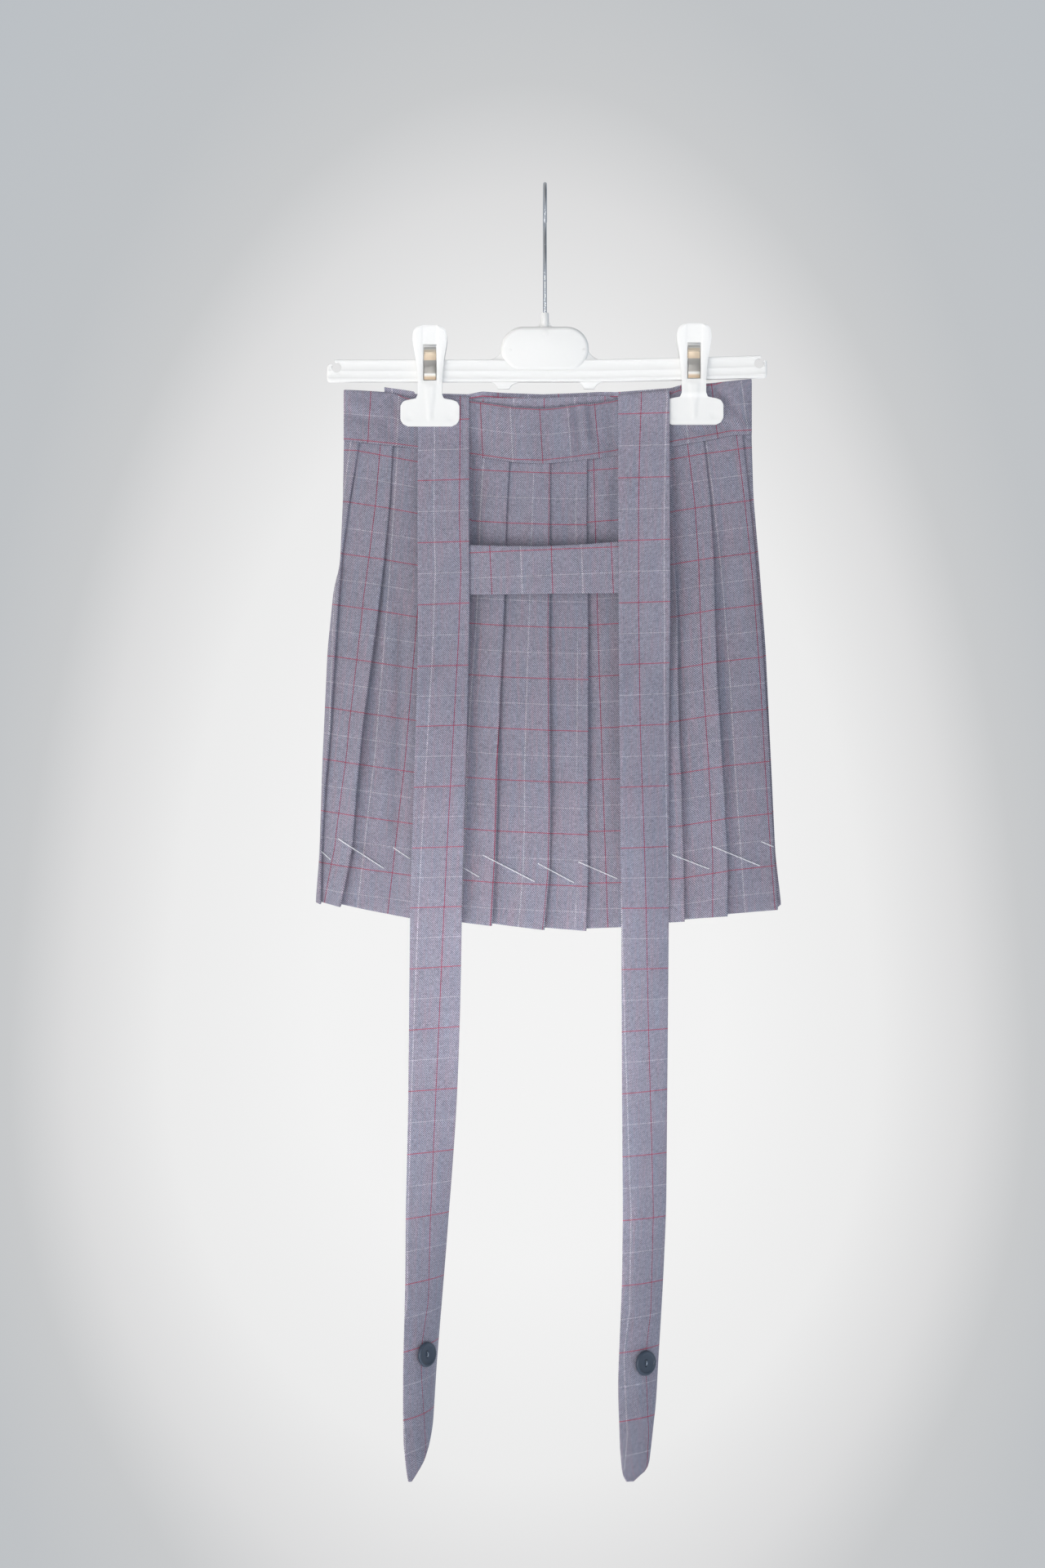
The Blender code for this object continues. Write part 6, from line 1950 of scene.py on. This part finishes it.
def spring_material(name, rise):
    """Bright spring steel, tinted in bands where its bends take up warm and dark reflections."""
    look = settings("hanger")
    made, nodes, shader = new_material(name)
    parts = nodes.parts(nodes.add("ShaderNodeTexCoord").outputs["Object"])
    above = nodes.math("SUBTRACT", parts[2], (SPRING_LOW_Z + rise) * MM)
    # Painted reflections: bands of colour by height stand in for what the spring's bends reflect
    bands = nodes.ramp(nodes.math("DIVIDE", above, SPRING_REFLECTIONS_HEIGHT * MM), SPRING_REFLECTIONS)
    tinted = nodes.mix(0.25, bands, rgba(look.spring))
    dress(nodes, shader, handled(nodes, tinted, (0.3, 0.28, 0.26), 0.38, 0.2, 500.0), 0.05, 0.0004)
    shader.inputs["Metallic"].default_value = 0.75
    return made


def clip_spring(side_name):
    """The clip's flat spring: up one window, over the bar and down the other."""
    clip_x, rise, _ = CLIPS[side_name]
    leg = [(-out, z) for z, out in SPRING_LEG] + [(-SPRING_TOP_HALF, SPRING_TOP_Z)]
    corners = [Vector(spot) for spot in leg + [(-y, z) for y, z in reversed(leg)]]
    route = [corners[0]]
    for before, corner, after in zip(corners, corners[1:], corners[2:]):
        route += rounded_corner(before, corner, after, SPRING_ROUND, 4)
    route.append(corners[-1])
    across = (-1, -0.97, -0.9, 0, 0.9, 0.97, 1)
    grid = np.array([
        [(clip_x + share * SPRING_HALF, point.x, point.y + rise) for share in across] for point in route
    ])
    wall = SPRING_WALL * rim([(1 - abs(share)) * SPRING_HALF for share in across], 0.3)[None, :]
    finish = spring_material(f"{side_name} spring steel", rise)
    return cloth_piece(f"clip_{side_name}_spring", grid, wall, None, finish)


def room_material(stage_set):
    """Studio walls that give off painted light, brightest in a pool behind and below the skirt and darker out
    towards the corners.
    """
    made, nodes, shader = new_material("pale studio paint")
    parts = nodes.parts(nodes.add("ShaderNodeTexCoord").outputs["Object"])
    across = nodes.math("DIVIDE", nodes.math("SUBTRACT", parts[0], GLOW_CENTRE_X), GLOW_ACROSS)
    over = nodes.math("SUBTRACT", parts[2], GLOW_CENTRE_Z)
    above, below = nodes.math("DIVIDE", over, GLOW_ABOVE), nodes.math("DIVIDE", over, -GLOW_BELOW)
    up = nodes.math("MAXIMUM", above, below)
    squares = nodes.math("ADD", nodes.math("MULTIPLY", across, across), nodes.math("MULTIPLY", up, up))
    away = nodes.math("MULTIPLY", nodes.math("SQRT", squares), 0.5)
    # Painted light: the walls' colour is emitted, its ramp making a pool of light behind the skirt
    nodes.join(nodes.ramp(away, GLOW_STOPS), shader.inputs["Emission Color"])
    shader.inputs["Base Color"].default_value = (0.02, 0.02, 0.02, 1)
    shader.inputs["Emission Strength"].default_value = stage_set.glow
    shader.inputs["Roughness"].default_value = 0.95
    shader.inputs["Specular IOR Level"].default_value = 0.1
    return made


def build_room(stage_set):
    """A round pale studio: a floor that sweeps up into its wall."""
    radius, floor, sweep = stage_set.room_radius, stage_set.floor_z, 2.0
    profile = [(0.02, floor), (1.5, floor), (radius - sweep, floor)]
    for step in range(1, 13):
        angle = math.pi / 2 * step / 12
        profile.append((radius - sweep + sweep * math.sin(angle), floor + sweep * (1 - math.cos(angle))))
    profile += [(radius, 1.5), (radius, 4.0)]
    sides = 96
    mesh = bpy.data.meshes.new("studio")
    mesh.from_pydata(turned_points(profile, sides), [], ring_faces(len(profile), sides, closed_end=False))
    mesh.materials.append(room_material(stage_set))
    mesh.shade_smooth()
    made = linked("studio", mesh)
    made.visible_shadow = False
    made.visible_diffuse = False


def soft_daylight(strength):
    """Light from all round, stronger from the bright floor below and from the left."""
    world = bpy.data.worlds.new("soft daylight")
    world.use_nodes = True
    nodes = Nodes(world.node_tree)
    background = world.node_tree.nodes["Background"]
    parts = nodes.parts(nodes.add("ShaderNodeTexCoord").outputs["Generated"])
    side = nodes.math("MULTIPLY_ADD", parts[0], LESS_AT_RIGHT, 1.0)
    level = nodes.math("MAXIMUM", nodes.math("MULTIPLY_ADD", parts[2], LESS_ABOVE, side), 0.05)
    nodes.join(nodes.math("MULTIPLY", level, strength), background.inputs["Strength"])
    nodes.join(nodes.mix(parts[0], rgba(WARM_LEFT), rgba(COOL_RIGHT)), background.inputs["Color"])
    return world


def area_light(lamp, power):
    data = bpy.data.lights.new(lamp.name, "AREA")
    data.shape = "DISK"
    data.spread = math.radians(lamp.spread)
    data.size = lamp.size
    data.energy = power
    data.color = lamp.colour
    made = linked(lamp.name, data)
    made.location = lamp.place
    made.rotation_euler = (Vector(lamp.target) - Vector(lamp.place)).to_track_quat("-Z", "Y").to_euler()
    made.visible_camera = False


class SKIRT_OT_stage(bpy.types.Operator):
    """Builds the studio, its lights and the camera"""

    bl_idname = "skirt.stage"
    bl_label = "Build studio"

    def execute(self, context):
        look = context.scene.skirt_stage
        build_room(look)
        context.scene.world = soft_daylight(look.ambient)
        for lamp in LAMPS:
            area_light(lamp, getattr(look, lamp.power))
        camera = bpy.data.cameras.new("camera")
        camera.lens = camera.sensor_width * look.distance / look.view_height
        camera.clip_end = 60
        made = linked("camera", camera)
        made.location = (CAMERA_X, -look.distance, CAMERA_Z)
        made.rotation_euler = (math.pi / 2, 0, 0)
        context.scene.camera = made
        context.scene.view_settings.view_transform = "Standard"
        return {"FINISHED"}


def seated(made, slot, *nodes):
    """A finished piece rides on the skirt's one body and stands for the CAD nodes, which are hidden; its slot
    is not used.
    """
    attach(made, "root")
    if nodes:
        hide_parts(*nodes)
    return made


class SKIRT_OT_panels(bpy.types.Operator):
    """Builds the pleated front and back"""

    bl_idname = "skirt.panels"
    bl_label = "Build pleated panels"

    def execute(self, context):
        front = seated(front_panel(), "check_cloth", "skirt_front")
        back = seated(back_panel(), "check_cloth", "skirt_back")
        return {"FINISHED"}


class SKIRT_OT_waistband(bpy.types.Operator):
    """Builds the waistband's front, back and underlap"""

    bl_idname = "skirt.waistband"
    bl_label = "Build waistband"

    def execute(self, context):
        front = band_half("band_front", FRONT_TOP, FRONT_PINCH, "front", BAND_REDS, BAND_TOP_RED,
                          BAND_FRONT_CREASES)
        back = band_half("band_back", BACK_TOP, BACK_PINCH, "back", BACK_BAND_REDS, BACK_TOP_RED,
                         BAND_BACK_CREASES)
        lap = underlap()
        seated(front, "check_cloth", "waistband_front")
        seated(back, "check_cloth", "waistband_back")
        seated(lap, "check_cloth", "waistband_underlap")
        return {"FINISHED"}


class SKIRT_OT_straps(bpy.types.Operator):
    """Builds both straps and the band across the chest"""

    bl_idname = "skirt.straps"
    bl_label = "Build straps"

    def execute(self, context):
        for side in ("left", "right"):
            made = seated(strap(side), "strap_cloth", f"strap_{side}", f"strap_tail_{side}")
        band = seated(cross_band(), "strap_cloth", "cross_band")
        return {"FINISHED"}


class SKIRT_OT_buttons(bpy.types.Operator):
    """Builds the buttons and their thread"""

    bl_idname = "skirt.buttons"
    bl_label = "Build buttons"

    def execute(self, context):
        for side in ("left", "right"):
            made, thread = button(side)
            seated(made, "dark_button", f"button_{side}")
            seated(thread, "dark_button")
        return {"FINISHED"}


class SKIRT_OT_threads(bpy.types.Operator):
    """Lays the basting threads over the pleats and the stitches that hold the straps"""

    bl_idname = "skirt.threads"
    bl_label = "Lay threads and stitches"

    def execute(self, context):
        look = context.scene.skirt_trim
        radius = look.thread_radius / MM
        front = surface_finder(bpy.data.objects["pleated_front"])
        back = surface_finder(bpy.data.objects["pleated_back"])
        routes = [thread_route(front, *ends, radius) for ends in BASTING + HIDDEN_BASTING]
        for step in range(BACK_BASTING_COUNT):
            x = BACK_BASTING_X + BACK_BASTING_STEP * step
            z = BACK_BASTING_Z - BACK_BASTING_SAG * math.sin(math.pi * (step + 0.5) / BACK_BASTING_COUNT)
            routes.append(thread_route(back, x + BACK_BASTING_REACH, z, x, z - BACK_BASTING_FALL, radius, 1))
        made = grown("basting_threads", path_object("basting path", routes), thread_tree(),
                     {"Radius": look.thread_radius, "Step": THREAD_STEP, "Material": thread_material()})
        seated(made, "check_cloth")
        paths = []
        y = CLOTH_MIDDLE_Y - TAIL_PINCH + STRAP_WALL / 2 + 0.05
        for side in ("left", "right"):
            grid, _, columns = strap_shape(side)
            for share in TAIL_STITCH_SHARES:
                x = float(np.interp(share, columns, grid[0, :, 0]))
                paths.append([(x, y, z) for z in TAIL_STITCH_ZS])
            left_x = float(grid[0, 0, 0])
            paths.append([(left_x + reach, y, TAIL_CROSS_Z) for reach in TAIL_CROSS_REACHES])
        sewing = surface_material("sewing thread", (0.30, 0.30, 0.40), (0.2, 0.2, 0.26), 0.7, 0.2, 2500.0,
                                  0.2)
        made = grown("strap_stitches", path_object("stitch path", paths), stitch_tree(),
                     {"Spacing": look.stitch_length, "Length": look.stitch_length * STITCH_SHARE,
                      "Radius": STITCH_RADIUS, "Material": sewing})
        seated(made, "strap_cloth")
        return {"FINISHED"}


class SKIRT_OT_hanger(bpy.types.Operator):
    """Builds the hanger's moulding, its hook, clips and springs"""

    bl_idname = "skirt.hanger"
    bl_label = "Build hanger"

    def execute(self, context):
        seated(hanger_body(), "white_plastic", "hanger_bar")
        seated(hook_wire(), "hook_steel", "hook")
        for side in ("left", "right"):
            seated(clip_jaw(side, -1), "white_plastic", f"clip_{side}_front")
            seated(clip_jaw(side, 1), "white_plastic", f"clip_{side}_rear")
            seated(clip_spring(side), "spring_steel", f"spring_{side}")
        return {"FINISHED"}


class SKIRT_PT_build(bpy.types.Panel):
    """Lists the skirt's sizes, colours and build steps"""

    bl_idname = "SKIRT_PT_build"
    bl_label = "Pleated skirt"
    bl_space_type = "VIEW_3D"
    bl_region_type = "UI"
    bl_category = "Skirt"

    def draw(self, context):
        for title, group in (("Cloth", "cloth"), ("Trim", "trim"), ("Hanger", "hanger"), ("Studio", "stage")):
            box = self.layout.box()
            box.label(text=title)
            values = getattr(context.scene, f"skirt_{group}")
            for key in type(values).__annotations__:
                box.prop(values, key)
        for operator in BUILD_STEPS:
            self.layout.operator(operator.bl_idname)


BUILD_STEPS = (SKIRT_OT_stage, SKIRT_OT_hanger, SKIRT_OT_panels, SKIRT_OT_waistband, SKIRT_OT_straps,
               SKIRT_OT_buttons, SKIRT_OT_threads)
SETTINGS = {"cloth": ClothSettings, "trim": TrimSettings, "hanger": HangerSettings, "stage": StageSettings}


def register():
    for name, group in SETTINGS.items():
        bpy.utils.register_class(group)
        setattr(bpy.types.Scene, f"skirt_{name}", PointerProperty(type=group))
    for operator in BUILD_STEPS:
        bpy.utils.register_class(operator)
    bpy.utils.register_class(SKIRT_PT_build)


def unregister():
    bpy.utils.unregister_class(SKIRT_PT_build)
    for operator in reversed(BUILD_STEPS):
        bpy.utils.unregister_class(operator)
    for name, group in SETTINGS.items():
        delattr(bpy.types.Scene, f"skirt_{name}")
        bpy.utils.unregister_class(group)


def main():
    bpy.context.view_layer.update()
    register()
    bpy.ops.skirt.stage()
    bpy.ops.skirt.hanger()
    bpy.ops.skirt.panels()
    bpy.ops.skirt.waistband()
    bpy.ops.skirt.straps()
    bpy.ops.skirt.buttons()
    bpy.ops.skirt.threads()


if __name__ == "__main__":
    main()
